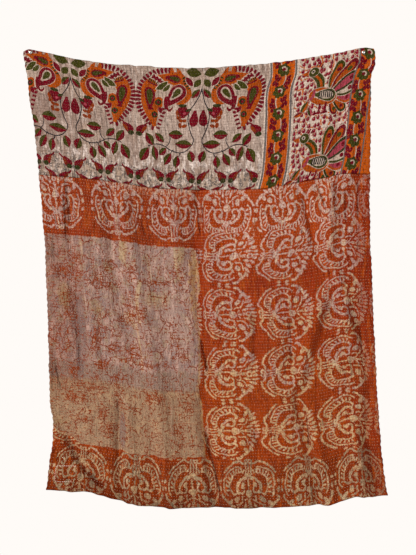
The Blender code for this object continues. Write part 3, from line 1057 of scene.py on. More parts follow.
# Half of the big printed medallion, x outwards from its axis and y down from
# the top edge, in the order in which it is painted.
MEDALLION = (
    # The orange body of the great paisley: its lobe, its crown and its lining.
    Shape("drop", 189, 138, 98, 178, 66, ORANGE, None, 0, -0.28),
    Shape("leaf", 183, 160, 112, 108, 46, ORANGE),
    Shape("drop", 112, 43, -8, 110, 46, ORANGE),
    Shape("leaf", 82, 36, -38, 56, 28, ORANGE),
    Shape("leaf", 112, 16, -84, 36, 12, ORANGE),
    Shape("leaf", 85, 19, -60, 38, 12, ORANGE),
    Shape("oval", 66, 50, 30, 34, 28, ORANGE),
    Shape("oval", 78, 99, 0, 82, 82, ORANGE),
    Shape("oval", 150, 104, 0, 44, 46, srgb(184, 158, 140)),
    Shape("oval", 157, 136, 0, 38, 42, ORANGE),
    Stroke(188, 34, 146, 62, 21, 3, HALO),
    Stroke(184, 37, 148, 61, 9, 3, CRIMSON),
    Beads(190, 33, 145, 63, 16, 4, 3, CRIMSON),
    Beads(196, 50, 162, 63, 9, 5, 0, DULL_GREEN),
    Stroke(199, 57, 162, 71, 4, -2, CRIMSON),
    Beads(70, 36, 42, 84, 9, 5, -5, DULL_GREEN),
    # Paisleys within it.
    Shape("drop", 190, 121, 97, 84, 38, CRIMSON, None, 0, 0.2),
    Stroke(186, 146, 178, 161, 8, -5, CRIMSON),
    Shape("drop", 192, 114, 97, 55, 22, GREEN),
    Shape("drop", 108, 43, -10, 54, 28, CRIMSON),
    Stroke(122, 34, 134, 45, 5.5, -4, CRIMSON),
    Shape("drop", 102, 43, -14, 36, 15, GREEN),
    Shape("oval", 158, 134, 0, 22, 22, DULL_GREEN),
    Shape("oval", 158, 134, 0, 10, 10, CRIMSON),
    Shape("oval", 169, 181, 0, 22, 22, DULL_GREEN),
    Shape("oval", 169, 181, 0, 10, 10, CRIMSON),
    Shape("leaf", 147, 73, 36, 50, 20, GREEN, None, 3.4, 0.35),
    Shape("leaf", 130, 80, 46, 36, 14, GREEN, None, 3.0, 0.3),
    # The ring-like paisley with its curled tail.
    Stroke(130, 112, 124, 160, 20, -4, HALO),
    Stroke(126, 156, 101, 152, 15, -10, HALO),
    Shape("drop", 99, 110, 51, 98, 56, CRIMSON, None, 2.4),
    Stroke(129, 112, 124, 159, 12, -4, CRIMSON),
    Stroke(126, 155, 103, 152, 8, -10, CRIMSON),
    Shape("drop", 95, 101, 50, 57, 30, srgb(190, 164, 146)),
    Shape("drop", 94, 99, 49, 41, 19, GREEN),
    # Buds and leaves near the stem.
    Shape("leaf", 33, 18, -13, 56, 32, GREEN),
    Shape("leaf", 18, 58, 50, 36, 23, GREEN),
    Shape("leaf", 48, 52, 128, 42, 19, CRIMSON, None, 3.0),
    *stems(VINE, (
        (0, 0, 2, 92, 2.2, 4),
        (2, 88, 30, 151, 2.2, 4),
        (30, 149, 39, 205, 2.2, -5),
        (39, 203, 16, 266, 2.2, -3),
        (16, 264, 26, 297, 2.2, 4),
        (25, 295, 68, 320, 2.2, 6),
        (66, 320, 125, 299, 2.2, 5),
        (123, 300, 192, 301, 2.2, -9),
        (124, 300, 110, 256, 1.8, -8),
        (66, 319, 73, 334, 1.8, 2),
        (94, 311, 103, 326, 1.8, -2),
        (38, 210, 24, 222, 1.6, 3),
    )),
    Shape("leaf", 21, 98, 48, 43, 23, GREEN, CRIMSON),
    Shape("drop", 17, 191, -94, 58, 32, CRIMSON),
    # The flower, its cap and the petals that drop from it.
    Shape("oval", 62, 160, 96, 30, 32, CRIMSON),
    Shape("drop", 53, 172, 60, 36, 24, CRIMSON),
    Shape("drop", 70, 170, 100, 40, 22, CRIMSON),
    Shape("oval", 60, 178, 0, 20, 24, CRIMSON),
    Shape("oval", 65, 144, 0, 28, 11, DULL_GREEN),
    Shape("oval", 55, 173, 30, 11, 7, PINK),
    Shape("oval", 41, 160, 20, 20, 9, DULL_GREEN),
    Stroke(83, 168, 66, 210, 2.6, 4, DARK_ORANGE),
    Shape("leaf", 84, 172, 96, 24, 10, DARK_ORANGE),
    Shape("leaf", 79, 190, 118, 20, 11, DARK_ORANGE),
    Shape("oval", 68, 200, 0, 15, 11, DARK_ORANGE),
    Shape("oval", 54, 200, 10, 14, 10, DARK_ORANGE),
    Shape("oval", 71, 218, 100, 18, 12, DARK_ORANGE),
    Shape("oval", 54, 220, 20, 18, 11, DARK_ORANGE),
    # The sprig beside the lobe.
    Shape("leaf", 149, 163, 115, 26, 13, CRIMSON),
    Shape("leaf", 141, 160, 5, 22, 9, CRIMSON),
    Shape("oval", 134, 173, 20, 13, 9, CRIMSON),
    # Leaves on the lower boughs, green above and crimson below.
    *leaves(GREEN, CRIMSON, ((86, 253, 0, 56, 33), (54, 288, -2, 68, 30))),
    *leaves(CRIMSON, GREEN, ((149, 267, 137, 46, 25), (187, 274, 123, 52, 29))),
    *leaves(GREEN, CRIMSON, (
        (165, 325, 104, 56, 25),
        (135, 318, 46, 38, 24),
        (115, 345, 60, 52, 27),
        (79, 354, 83, 46, 27),
        (21, 332, 109, 44, 30),
        (207, 332, 60, 60, 35),
    )),
    # The bud between two medallions.
    Shape("drop", 218, 238, 222, 46, 30, CRIMSON),
    Stroke(207, 227, 190, 215, 4.0, 3, CRIMSON),
    Shape("leaf", 208, 238, 226, 30, 11, DARK_ORANGE),
    Shape("oval", 229, 258, -10, 22, 16, DULL_GREEN),
)

# Half of the pair of buds that repeats along the foot of the print.
BUD_PAIR = (
    Shape("drop", 23, 406, -50, 40, 29, CRIMSON),
    Stroke(35, 393, 51, 381, 5.2, 3, CRIMSON),
    Shape("leaf", 31, 405, -56, 30, 10, srgb(118, 38, 8)),
    Shape("oval", 15, 422, 0, 19, 16, DULL_GREEN),
)

# The crimson leaves between two rosettes of a band: x from the band's middle,
# y down from the upper rosette.
BAND_LEAVES = leaves(CRIMSON, None, (
    (-24, 25, 70, 26, 13),
    (-12, 33, 112, 22, 11),
    (-27, 45, 96, 23, 13),
    (-15, 53, 60, 23, 12),
    (21, 31, 122, 23, 13),
    (28, 47, 84, 26, 13),
    (17, 52, 68, 23, 11),
    (23, 66, 40, 22, 12),
))


def feather(reach, length, width, outer, inner, eye):
    """One feather of the peacock's fan, reaching out from its rump."""
    rump_x, rump_y = 24, 30
    out_x, out_y = cos(radians(reach)), sin(radians(reach))
    x, y = rump_x + 0.5 * length * out_x, rump_y + 0.5 * length * out_y
    eye_x, eye_y = rump_x + 0.74 * length * out_x, rump_y + 0.74 * length * out_y
    return (
        Shape("drop", x, y, reach + 180, length, width, outer, None, 3.0),
        Shape("drop", x + 2 * out_x, y + 2 * out_y, reach + 180, 0.76 * length, 0.6 * width, inner),
        Shape("oval", eye_x, eye_y, reach, 0.36 * width, 0.36 * width, eye),
    )


# A stylised peacock, which stands twice in the bordered field.
PEACOCK = (
    *feather(74, 80, 32, CRIMSON, ORANGE, GREEN),
    *feather(48, 92, 36, DULL_GREEN, ORANGE, CRIMSON),
    *feather(20, 98, 38, ORANGE, PINK, CRIMSON),
    *feather(-84, 122, 42, GREEN, ORANGE, CRIMSON),
    *feather(-6, 104, 42, GREEN, HALO, CRIMSON),
    *feather(-58, 136, 46, CRIMSON, ORANGE, GREEN),
    *feather(-32, 122, 46, DULL_GREEN, PINK, CRIMSON),
    Stroke(-18, 26, -58, -54, 27, 18, GREEN, 3.0),
    Stroke(-16, 28, -54, -50, 7, 18, ORANGE),
    Shape("oval", -6, 34, 12, 104, 62, ORANGE, None, 3.0),
    Shape("drop", 4, 30, 190, 76, 42, GREEN, None, 3.0),
    Shape("oval", 8, 30, 10, 52, 28, HALO),
    Beads(-20, 27, 34, 34, 25, 7, -4, BLACK),
    Shape("leaf", -86, -60, 8, 36, 14, ORANGE),
    Shape("oval", -62, -64, 0, 35, 33, GREEN, None, 2.5),
    Shape("oval", -66, -66, 0, 12, 12, HALO),
    Shape("oval", -66, -66, 0, 6, 6, BLACK),
    Beads(-56, -90, -32, -76, 12, 3, -5, CRIMSON),
    Stroke(-38, 6, -54, 40, 9, -5, PINK),
    Stroke(-14, 60, -20, 92, 6, 0, CRIMSON),
    Stroke(8, 60, 6, 94, 6, 0, CRIMSON),
    Stroke(-36, 94, -12, 91, 6, 0, CRIMSON),
    Stroke(-10, 96, 14, 93, 6, 0, CRIMSON),
    Shape("leaf", -74, 66, -60, 50, 20, GREEN, ORANGE, 2.0),
    Shape("leaf", -52, 84, -110, 36, 16, GREEN, PINK, 2.0),
    Shape("leaf", -96, 88, -20, 34, 15, CRIMSON, ORANGE, 2.0),
)

FORMS = {"oval": oval, "leaf": leaf, "drop": drop}


def paint_rows(canvas, at, rows):
    """Paint a table of shapes in its order."""
    for row in rows:
        field = shape_field(at, row)
        if getattr(row, "halo", 0):
            canvas.paint(field < row.halo, HALO)
        colour = row.colour
        if getattr(row, "other", None):
            side = at.along(row.x, row.y, row.turn + 90) > 0.0
            colour = mix_colours(canvas.tree, row.colour, row.other, side)
        canvas.paint(field < PRINT_GROWTH, colour)


MEDALLION_AXIS = 176        # s of the first medallion's axis at the top edge
MEDALLION_HALF = 244.5      # half of the medallions' pitch
BUD_PITCH = MEDALLION_HALF / 4
PRINT_GROWTH = 0.9          # how far the dyes crept past their outlines

# The fringe: dashes that stand out from the round back of the paisley.
FRINGE_X = 128.0
FRINGE_Y = 118.0
FRINGE_HALF_LENGTH = 12.0
FRINGE_COUNT = 47.0


def paint_fringe(canvas, at):
    """The crimson fringe round the outside of the great paisley."""
    radius = at.distance(FRINGE_X, FRINGE_Y)
    angle = calculate(at.tree, "ARCTAN2", at.y - FRINGE_Y, at.x - FRINGE_X)
    reach = angle.ramp(1.02, 1.25, 107.0, 126.0)
    across = (radius - reach) / FRINGE_HALF_LENGTH
    along = (angle * FRINGE_COUNT).sine().times_plus(0.57, 0.57)
    dash = (along * along).times_plus(1.0, across * across) - 1.0
    ends = (angle + 0.22).size() - 1.47
    canvas.paint((dash * 4.0).at_least(ends * 60.0) < 0.0, CRIMSON)
    inner = beads(at, 159, 242, 139, 182, 16, 4, 0)
    canvas.paint(inner < 0.0, CRIMSON)


# The orange bands: s of the middle at the top edge, how much it moves to the
# left on the way down, and t of the first rosette.
Band = namedtuple("Band", "start lean lag")
FIRST_BAND = Band(961.5, 0.1144, 31.0)
SECOND_BAND = Band(1281.0, 0.135, 17.0)
ROSETTE_PITCH = 80.5
ROSETTE_RADIUS = 22.5
STEM_SWAY = 11.0
STEM_HALF_WIDTH = 1.9


def paint_rosettes(canvas, tree, x, t, lag, where):
    """Green rosettes, crimson leaves and pale stems down an orange band."""
    half = 0.5 * ROSETTE_PITCH
    y = (t - lag).wrapped(ROSETTE_PITCH)
    other = (t - lag).wrapped(2 * ROSETTE_PITCH) > ROSETTE_PITCH
    paint_rows(canvas, Place(choose(x, x * -1.0, other), y), BAND_LEAVES)
    stem = (x - ((t - lag) * (pi / ROSETTE_PITCH)).sine() * STEM_SWAY).size() < STEM_HALF_WIDTH
    canvas.paint(stem * where * (y.mirrored(half) > 16.0), HALO)
    turned = Place(x, (t - lag + half).wrapped(ROSETTE_PITCH))
    angle = calculate(tree, "ARCTAN2", turned.y - half, turned.x)
    rim = turned.distance(0, half) + (angle * 6.0).sine() * 2.2 + (angle * 11.0).sine() * 1.0
    canvas.paint((rim < ROSETTE_RADIUS) * where, GREEN)
    curl = (turned.distance(1, 38) - 9.0).size() < 2.6
    canvas.paint(curl * where * ((turned.y - turned.x) < 39.0), HALO)
    canvas.paint((turned.distance(1, 38) < 6.5) * where, CRIMSON)


def cells(tree, size, feature, randomness=1.0):
    """Voronoi cells about size mm wide. The caller feeds them their vector."""
    node = tree.nodes.new("ShaderNodeTexVoronoi")
    node.voronoi_dimensions = "2D"
    node.feature = feature
    node.inputs["Randomness"].default_value = randomness
    node.inputs["Scale"].default_value = 1 / size
    return node


PEACOCK_AXIS = 1141.0       # s of the peacocks at the top edge
PEACOCK_LEAN = 0.153
PEACOCK_PITCH = 242.0


def paint_bordered_field(canvas, tree, cloth, where):
    """Crimson drops on orange twigs, and the peacocks."""
    twigs = cells(tree, 38.0, "DISTANCE_TO_EDGE")
    bent = Place(cloth.s + (cloth.t * 0.11).sine() * 4.0, cloth.t + (cloth.s * 0.09).sine() * 5.0)
    feed(tree, twigs.inputs["Vector"], bent.vector)
    near = Value(tree, twigs.outputs["Distance"])
    broken = noise_value(tree, cloth.vector, 1 / 26.0)
    canvas.paint((near < 0.080) * (broken > 0.38) * where, srgb(196, 98, 44))
    lattice = cells(tree, 20.5, "F1", 0.62)
    feed(tree, lattice.inputs["Vector"], cloth.vector)
    spot = vector_math(tree, "MULTIPLY_ADD", lattice.outputs["Position"], (-1.0, -1.0, 0.0),
                       cloth.vector)
    spot = Place(*split_vector(tree, spot)[:2])
    berry = drop(spot, 0, 0, -62, 18.5, 13.0)
    canvas.paint((berry < 1.4) * where, HALO)
    canvas.paint((berry < 0.0) * where, srgb(136, 4, 36))
    vein = line(spot, -5, 1, 0, -4, 1.4)
    canvas.paint((vein < 0.0) * where, srgb(206, 150, 138))
    across = cloth.s + cloth.t * PEACOCK_LEAN - PEACOCK_AXIS
    down = cloth.t.wrapped(PEACOCK_PITCH) - 0.5 * PEACOCK_PITCH
    paint_rows(canvas, Place(across, down), PEACOCK)


# Tones of the silk; the last row is painted highlight where upright creases catch the light.
GROUND_TONES_AND_HIGHLIGHT = (
    Tone(90.0, 3.0, 0.5, None, 0.35, 0.75, 1.0, srgb(188, 160, 140)),
    Tone(60.0, 2.0, 0.5, (1.0, 0.5), 0.50, 0.80, 1.0, srgb(162, 140, 126)),
    Tone(3.2, 2.0, 0.6, (1.0, 0.035), 0.52, 0.76, 0.38, SLUB),
    Tone(3.0, 2.0, 0.6, (0.030, 1.0), 0.54, 0.80, 0.45, SLUB),
    Tone(12.0, 3.0, 0.6, (1.0, 0.20), 0.50, 0.64, 0.65, srgb(224, 202, 188)),
)
SHADED_TONES = (Tone(13.0, 3.0, 0.6, (1.0, 0.26), 0.52, 0.70, 0.48, srgb(128, 100, 86)),)


def paint_ground(tree, cloth):
    """Tussar silk with darker slubs, uneven fading, painted highlights, a painted pool of light and
    painted shade.
    """
    canvas = Canvas(tree, GROUND)
    canvas.paint_tones(cloth.vector, GROUND_TONES_AND_HIGHLIGHT)
    # Painted highlights on the crumples at the foot of the print.
    crumple_highlight = noise_value(tree, cloth.vector, 1 / 17.0, 3.0, 0.6, (1.0, 0.5))
    foot = cloth.t.ramp(290.0, 350.0)
    canvas.paint(crumple_highlight.ramp(0.51, 0.60, 0.0, 0.80) * foot, srgb(240, 220, 208))
    # A painted pool of light over the middle of the print.
    middle = oval(Place(cloth.s, cloth.t), 680, 190, 0, 620, 320)
    canvas.paint(middle.ramp(20.0, -80.0, 0.0, 0.55), srgb(208, 182, 166))
    # Painted shade towards the left edge.
    canvas.paint(cloth.s.ramp(200.0, 60.0, 0.0, 0.75), srgb(220, 212, 210), "MULTIPLY")
    canvas.paint_tones(cloth.vector, SHADED_TONES)
    return canvas


def age_and_shade_cloth(canvas, tree, cloth, worn_colour, grain):
    """Worn threads, fine darker streaks, and painted shadow in the stitched hollows."""
    worn = noise_value(tree, cloth.vector, 1 / 4.0, 3.0, 0.7, (1.0, 0.30))
    canvas.paint(worn.ramp(0.56, 0.82, 0.0, 0.20), worn_colour)
    dark = noise_value(tree, cloth.vector, 1 / 4.6, 3.0, 0.7, (0.34, 1.0))
    canvas.paint(dark.ramp(0.52, 0.80) * grain, srgb(76, 40, 28), "MULTIPLY")
    upright = noise_value(tree, cloth.vector, 1 / 5.6, 3.0, 0.7, (1.0, 0.20))
    canvas.paint(upright.ramp(0.52, 0.80) * grain, srgb(80, 44, 34), "MULTIPLY")
    # Painted shadow in the hollows along the rows of stitches.
    hollow = cloth.on_stitches().ramp(0.1, 1.0, 0.0, 0.12)
    canvas.paint(hollow, srgb(120, 80, 66), "MULTIPLY")


# Where the second row of buds starts, and how far below the first it is.
SECOND_BUDS_T = 432.0
BUD_ROW_STEP = 56.0
# Distances from the middle of the first band.
PRINT_END = -54.0           # the medallions end here
FIRST_HALF = 41.0
FIRST_LINE = 46.0           # a grey line on each side
FIELD_START = 58.0
# Distances from the middle of the second band.
FIELD_END_LINE = 33.0       # a grey line to the left
FIELD_END = -30.0
SECOND_HALF = 34.0
SECOND_LINE = 38.0          # a thinner one to the right
LINE_HALF_WIDTH = 3.6
THIN_LINE_HALF_WIDTH = 2.8


def upper_cloth():
    """The print: medallions and buds, then two orange bands and a field."""
    made, tree, shader = new_material("printed_tussar", 0.82)
    cloth = Cloth(tree, waver=1.5)
    canvas = paint_ground(tree, cloth)
    s, t = cloth.s, cloth.t
    # The print leans to the left on its way down, more so towards the right,
    # and the left ear pulls it up.
    lean = t.ramp(105.0, 185.0, 0.0, 18.0) + t.ramp(185.0, 335.0, 0.0, 22.0)
    lean = lean + t.ramp(335.0, 440.0, 0.0, 8.0)
    upright_s = lean.times_plus(s.ramp(176.0, 600.0, 0.6, 1.0), s) + t.ramp(0.0, 50.0, 0.0, 7.0)
    depth = t + s.ramp(0.0, 240.0, 15.0, 0.0)
    half = Place((upright_s - MEDALLION_AXIS).mirrored(MEDALLION_HALF), depth)
    paint_fringe(canvas, half)
    paint_rows(canvas, half, MEDALLION)
    # Two rows of buds; the second is set half a pitch on, and the seam cuts it.
    second = depth > SECOND_BUDS_T
    pair = (upright_s - MEDALLION_AXIS).mirrored(BUD_PITCH)
    pair = choose(pair, BUD_PITCH - pair, second)
    buds = Place(pair, second.times_plus(-BUD_ROW_STEP, depth))
    sprigs = noise_value(tree, cloth.vector, 1 / 4.6, 2.0, 0.6)
    clumps = noise_value(tree, cloth.vector, 1 / 17.0, 1.0)
    low = noise_value(tree, cloth.vector, 1 / 30.0).times_plus(50.0, depth - 25.0)
    # Painted highlight: the ground is lighter low on the print.
    canvas.paint(low.ramp(380.0, 410.0, 0.0, 0.30), srgb(186, 160, 132))
    grey = sprigs.ramp(0.40, 0.54) * clumps.ramp(0.47, 0.56) * low.ramp(366.0, 392.0, 0.0, 0.90)
    canvas.paint(grey, srgb(86, 80, 78))
    paint_rows(canvas, buds, BUD_PAIR)
    # Everything right of the medallions: two orange bands and a field.
    from_first = t.times_plus(FIRST_BAND.lean, s - FIRST_BAND.start)
    right_side = from_first > PRINT_END
    canvas.paint(right_side, srgb(226, 202, 184))
    slub = noise_value(tree, cloth.vector, 1 / 3.2, 2.0, 0.6, (1.0, 0.035))
    canvas.paint(slub.ramp(0.50, 0.76, 0.0, 0.55) * right_side, SLUB)
    paint_bordered_field(canvas, tree, cloth, from_first > FIELD_START)
    first = from_first.size() < FIRST_HALF
    edge = (from_first.size() - FIRST_LINE).size() < LINE_HALF_WIDTH
    canvas.paint(edge, GREY)
    canvas.paint(first, BAND_ORANGE)
    paint_rosettes(canvas, tree, from_first, t, FIRST_BAND.lag, first)
    from_second = t.times_plus(SECOND_BAND.lean, s - SECOND_BAND.start)
    second_band = from_second > FIELD_END
    canvas.paint((from_second + FIELD_END_LINE).size() < LINE_HALF_WIDTH, GREY)
    canvas.paint(second_band, BAND_ORANGE)
    on_band = from_second.size() < SECOND_HALF
    paint_rosettes(canvas, tree, from_second, t, SECOND_BAND.lag, on_band)
    canvas.paint((from_second - SECOND_LINE).size() < THIN_LINE_HALF_WIDTH, GREY)
    age_and_shade_cloth(canvas, tree, cloth, srgb(206, 176, 152), 0.70)
    finish_cloth(tree, shader, canvas, cloth, 2.6)
    return made


CLOTH_SHEEN = 0.01
CLOTH_SHEEN_ROUGHNESS = 0.6
CLOTH_SPECULAR = 0.06


def finish_cloth(tree, shader, canvas, cloth, rib_height, creases=None):
    """Join a cloth's colour and relief to its shader."""
    tree.links.new(canvas.colour, shader.inputs["Base Color"])
    shader.inputs["Sheen Weight"].default_value = CLOTH_SHEEN
    shader.inputs["Sheen Roughness"].default_value = CLOTH_SHEEN_ROUGHNESS
    shader.inputs["Specular IOR Level"].default_value = CLOTH_SPECULAR
    relief = cloth_relief(tree, cloth, rib_height)
    if creases is not None:
        relief = relief + creases
    add_bump(tree, shader, relief, BUMP_DISTANCE)


# ---------------------------------------------------------------------------
# The lower panel: rust orange, dyed by wax resist.
# ---------------------------------------------------------------------------
RUST = srgb(163, 56, 14)
DEEP_RUST = srgb(122, 38, 6)
LILAC = srgb(192, 160, 148)
CREAM = srgb(208, 174, 128)
SEA_GREY = srgb(152, 144, 118)

# Half of the resist medallion: x aside from its axis, y from its stalk
# (negative) to its plume. The wax leaves the cloth pale, and the BARE shapes take
# the dye.
BARE = "bare"
RESIST_MEDALLION = (
    # Broken outer strokes, which end in a hook at the stalk, and dots.
    Stroke(10, -92, 31, -103, 6.5, 4),
    Stroke(30, -103, 64, -87, 7.0, -4),
    Stroke(66, -85, 92, -54, 6.0, -3),
    Shape("oval", 101, -26, 84, 14, 9),
    Shape("oval", 102, 4, 96, 17, 8),
    Stroke(98, 22, 87, 47, 8.0, -4),
    Stroke(87, 46, 62, 68, 9.0, -4),
    # The curled band: its outer line, its inner line and its round end.
    Stroke(23, -60, 31, -79, 5.0, 3),
    Stroke(30, -79, 62, -71, 5.0, -4),
    Stroke(62, -71, 84, -36, 5.0, -5),
    Stroke(84, -36, 87, 8, 5.0, -3),
    Stroke(87, 8, 77, 27, 5.0, -2),
    Stroke(24, -58, 50, -52, 4.5, -3),
    Stroke(50, -52, 66, -24, 5.0, -4),
    Stroke(66, -24, 66, 6, 5.0, -3),
    Stroke(66, 6, 50, 18, 6.0, -3),
    # The ram's horn, which curls in on its eye.
    Stroke(7, -38, 36, -23, 10.0, -6),
    Stroke(36, -25, 46, 3, 10.0, -4),
    Stroke(46, 1, 31, 16, 9.0, -4),
    Stroke(32, 16, 19, 4, 7.0, -4),
    Stroke(19, 6, 27, -7, 6.0, -3),
    Shape("oval", 24, -13, 60, 20, 13),
    Stroke(45, 12, 60, 20, 7.0, 2),
    # What stands on the axis.
    Shape("oval", 7, -98, 0, 15, 18),
    Shape("oval", 6, -99, 0, 6, 7, BARE),
    Stroke(0, -90, 0, -48, 4.6, 0),
    Stroke(11, -88, 12, -50, 4.2, 2),
    Shape("oval", 3, -46, 0, 17, 17),
    Shape("leaf", 12, -34, 40, 24, 9),
    Stroke(0, -36, 0, 6, 4.4, 0),
    Shape("drop", 0, 19, 90, 32, 27),
    Stroke(4, 34, 16, 44, 4.0, 0),
    Stroke(0, 36, 3, 60, 4.6, 0),
    # The loop with a seed in it.
    Stroke(22, 24, 22, 46, 4.6, -2),
    Stroke(22, 46, 50, 60, 5.0, 4),
    Shape("oval", 44, 39, 60, 25, 18),
    Shape("oval", 70, 52, 40, 26, 14),
    # The plume.
    Shape("oval", 0, 73, 0, 20, 20),
    Shape("oval", 0, 73, 0, 8, 9, BARE),
    Shape("leaf", 6, 92, 84, 22, 9),
    Shape("leaf", 17, 66, 74, 26, 9),
    Shape("leaf", 20, 90, 78, 24, 9),
    Shape("leaf", 33, 82, 66, 30, 11),
    Shape("leaf", 48, 76, 54, 30, 11),
    Shape("leaf", 62, 74, 42, 24, 10),
)


def shape_field(at, row):
    """Distance from one row of a table of shapes."""
    if isinstance(row, Beads):
        return beads(at, row.x_from, row.y_from, row.x_to, row.y_to, row.width, row.count,
                     row.bulge)
    if isinstance(row, Stroke):
        return line(at, row.x_from, row.y_from, row.x_to, row.y_to, row.width, row.bulge)
    if row.form == "oval":
        return oval(at, row.x, row.y, row.turn, row.length, row.width)
    return FORMS[row.form](at, row.x, row.y, row.turn, row.length, row.width, row.bend)


def resist_medallion(at, tree):
    """Distance from the wax of half a medallion."""
    # Slanting commas within the curled band.
    across = (at.x - 35.0) / 42.0
    down = (at.y + 8.0) / 60.0
    reach = calculate(tree, "SQRT", (across * across).times_plus(1.0, down * down))
    angle = calculate(tree, "ARCTAN2", down, across)
    commas = angle.times_plus(25.0, reach * 7.0).sine() * -3.8 + 0.4
    past_end = ((angle + 0.95).size() - 1.28) * 46.0
    field = commas.at_least(((reach - 0.97).size() - 0.145) * 50.0).at_least(past_end)
    for row in RESIST_MEDALLION:
        shape = shape_field(at, row)
        if row.colour == BARE:
            field = field.at_least(shape * -1.0)
        else:
            field = field.at_most(shape)
    return field


# Medallions of the top border: t of their axis, s of the first one, the pitch
# there, and how much less it is from each one to the next.
TOP_BORDER_T = 540
TOP_FIRST = 60.0
TOP_PITCH = 241.0
TOP_CLOSING = 9.0
TOP_BORDER_LOW = 612.0
# The field's, on their sides: pitch across, s of the first one, how much of the
# pitch is on the plume's side, t of one axis and half of the pitch down.
COLUMN_PITCH = 215.0
COLUMN_FIRST = 755.0
COLUMN_PLUME = 112.0
SIDE_T = 700.0
SIDE_HALF = 106.5
# The bottom border's.
BOTTOM_BORDER_T = 1548
BOTTOM_BORDER_HEAD = 1442.0
FOOT_FIRST = 118.0
FOOT_HALF = 108.2
# The undyed field's own top and foot.
FIELD_TOP = 668
FIELD_LOW = 1438


def shifted(tree, cloth, scale, reach):
    """The cloth's coordinates, moved about so that no two medallions match."""
    drift = tree.nodes.new("ShaderNodeSeparateXYZ")
    feed(tree, drift.inputs[0], noise_node(tree, cloth.vector, scale, 1.0).outputs[1])
    s = Value(tree, drift.outputs[0]).times_plus(reach, cloth.s - 0.5 * reach)
    t = Value(tree, drift.outputs[1]).times_plus(reach, cloth.t - 0.5 * reach)
    return s, t


def resist_place(tree, s, t):
    """Where a point lies in its own medallion, whichever of them it is in."""
    # Along the top border the medallions stand closer towards the right.
    closing = 2 * TOP_CLOSING
    root = calculate(tree, "SQRT", (TOP_PITCH ** 2 + closing * TOP_FIRST) - closing * s)
    count = (TOP_PITCH - root) / TOP_CLOSING
    step = (count + 0.5).wrapped(1.0) - 0.5
    top_x = (step * (TOP_PITCH - TOP_CLOSING * count)).size()
    # Columns of the field lean, and lie on their sides, plume to the right.
    lean = s.ramp(720.0, 1150.0, 0.070, 0.015)
    column = (t - 705.0).times_plus(lean, s)
    side_y = (column - (COLUMN_FIRST - COLUMN_PLUME)).wrapped(COLUMN_PITCH) - COLUMN_PLUME
    side_x = (t - SIDE_T).mirrored(SIDE_HALF)
    foot_x = (s - FOOT_FIRST).mirrored(FOOT_HALF)
    in_top = (t < TOP_BORDER_LOW).at_least((t < 672.0) * (s < 640.0))
    in_foot = t > BOTTOM_BORDER_HEAD
    x = choose(choose(side_x, top_x, in_top), foot_x, in_foot)
    y = choose(choose(side_y, TOP_BORDER_T - t, in_top), t - BOTTOM_BORDER_T, in_foot)
    return Place(x, y), in_foot


def pale_field(tree, cloth):
    """Distance inside the undyed field at the left, negative inside."""
    s, t = cloth.s, cloth.t
    swell = (t - 785.0) / 95.0
    swell = calculate(tree, "EXPONENT", swell * swell * -1.0)
    right = s - swell.times_plus(32.0, 600.0)
    foot = t - s.ramp(0.0, 110.0, 1384.0, FIELD_LOW)
    head = FIELD_TOP - t
    field = calculate(tree, "SMOOTH_MAX", right, head, 34.0)
    field = calculate(tree, "SMOOTH_MAX", field, foot, 10.0)
    edge = noise_value(tree, cloth.vector, 1 / 26.0, 3.0, 0.6)
    return edge.times_plus(16.0, field - 8.0)


# Where cracks in the wax gather: s, t and the half sizes of each patch, in mm.
Patch = namedtuple("Patch", "s t half_s half_t strength")
CRACKED = tuple(Patch(*row) for row in (
    (60, 800, 60, 26, 0.9),
    (130, 752, 38, 30, 1.0),
    (115, 815, 40, 40, 0.8),
    (235, 828, 70, 26, 0.9),
    (262, 768, 34, 26, 0.8),
    (352, 790, 34, 46, 0.8),
    (450, 803, 120, 12, 0.8),
    (545, 780, 34, 44, 0.7),
    (85, 900, 34, 34, 0.8),
    (85, 965, 26, 50, 0.7),
    (340, 920, 36, 60, 0.7),
    (382, 915, 30, 34, 0.9),
    (300, 955, 90, 16, 0.6),
    (192, 1040, 24, 50, 0.9),
    (240, 1010, 60, 24, 0.5),
    (265, 1072, 34, 20, 1.0),
    (335, 1075, 30, 50, 1.1),
    (360, 1104, 120, 12, 0.8),
    (215, 1135, 34, 24, 0.9),
    (270, 1195, 30, 50, 0.6),
    (40, 1050, 50, 60, 0.5),
    (100, 1160, 24, 34, 0.8),
    (155, 1222, 60, 20, 0.8),
    (100, 1262, 50, 20, 0.8),
    (190, 1310, 22, 34, 0.9),
    (120, 1335, 50, 30, 0.6),
    (225, 1370, 34, 34, 0.7),
    (385, 1230, 18, 20, 1.1),
    (430, 1222, 26, 24, 0.9),
    (285, 1272, 50, 18, 0.7),
    (500, 1345, 28, 46, 0.7),
    (535, 1235, 30, 50, 0.6),
    (500, 1010, 24, 70, 0.6),
    (520, 1070, 36, 14, 0.8),
))


# The longest cracks.
LONG_CRACKS = tuple(Stroke(*row) for row in (
    (160, 806, 204, 776, 2.6, 2),
    (182, 838, 240, 822, 2.4, -3),
    (212, 1152, 250, 1106, 2.8, 3),
    (246, 1106, 300, 1088, 2.4, -2),
    (396, 676, 436, 742, 2.4, 3),
    (548, 992, 592, 946, 2.2, -2),
    (300, 892, 352, 908, 2.4, 3),
    (330, 938, 388, 922, 2.8, -3),
    (470, 1010, 560, 996, 2.2, 2),
    (96, 1172, 140, 1226, 2.6, 4),
    (140, 1226, 240, 1216, 2.4, -3),
    (60, 1258, 150, 1268, 2.4, 2),
    (180, 1330, 200, 1290, 2.6, -2),
    (210, 1386, 262, 1352, 2.4, 3),
    (412, 1216, 472, 1228, 2.6, -3),
    (486, 1330, 520, 1398, 2.4, 4),
    (30, 742, 96, 768, 2.4, -3),
    (100, 930, 60, 968, 2.4, 3),
))


def gathered(at, patches):
    """How strongly cracks gather, from 0."""
    total = None
    for patch in patches:
        u = at.along(patch.s, patch.t, 0, patch.half_s)
        v = at.along(patch.s, patch.t, 90, patch.half_t)
        near = (v * v).times_plus(1.0, u * u).ramp(1.6, 0.0, 0.0, patch.strength)
        total = near if total is None else total.at_least(near)
    return total


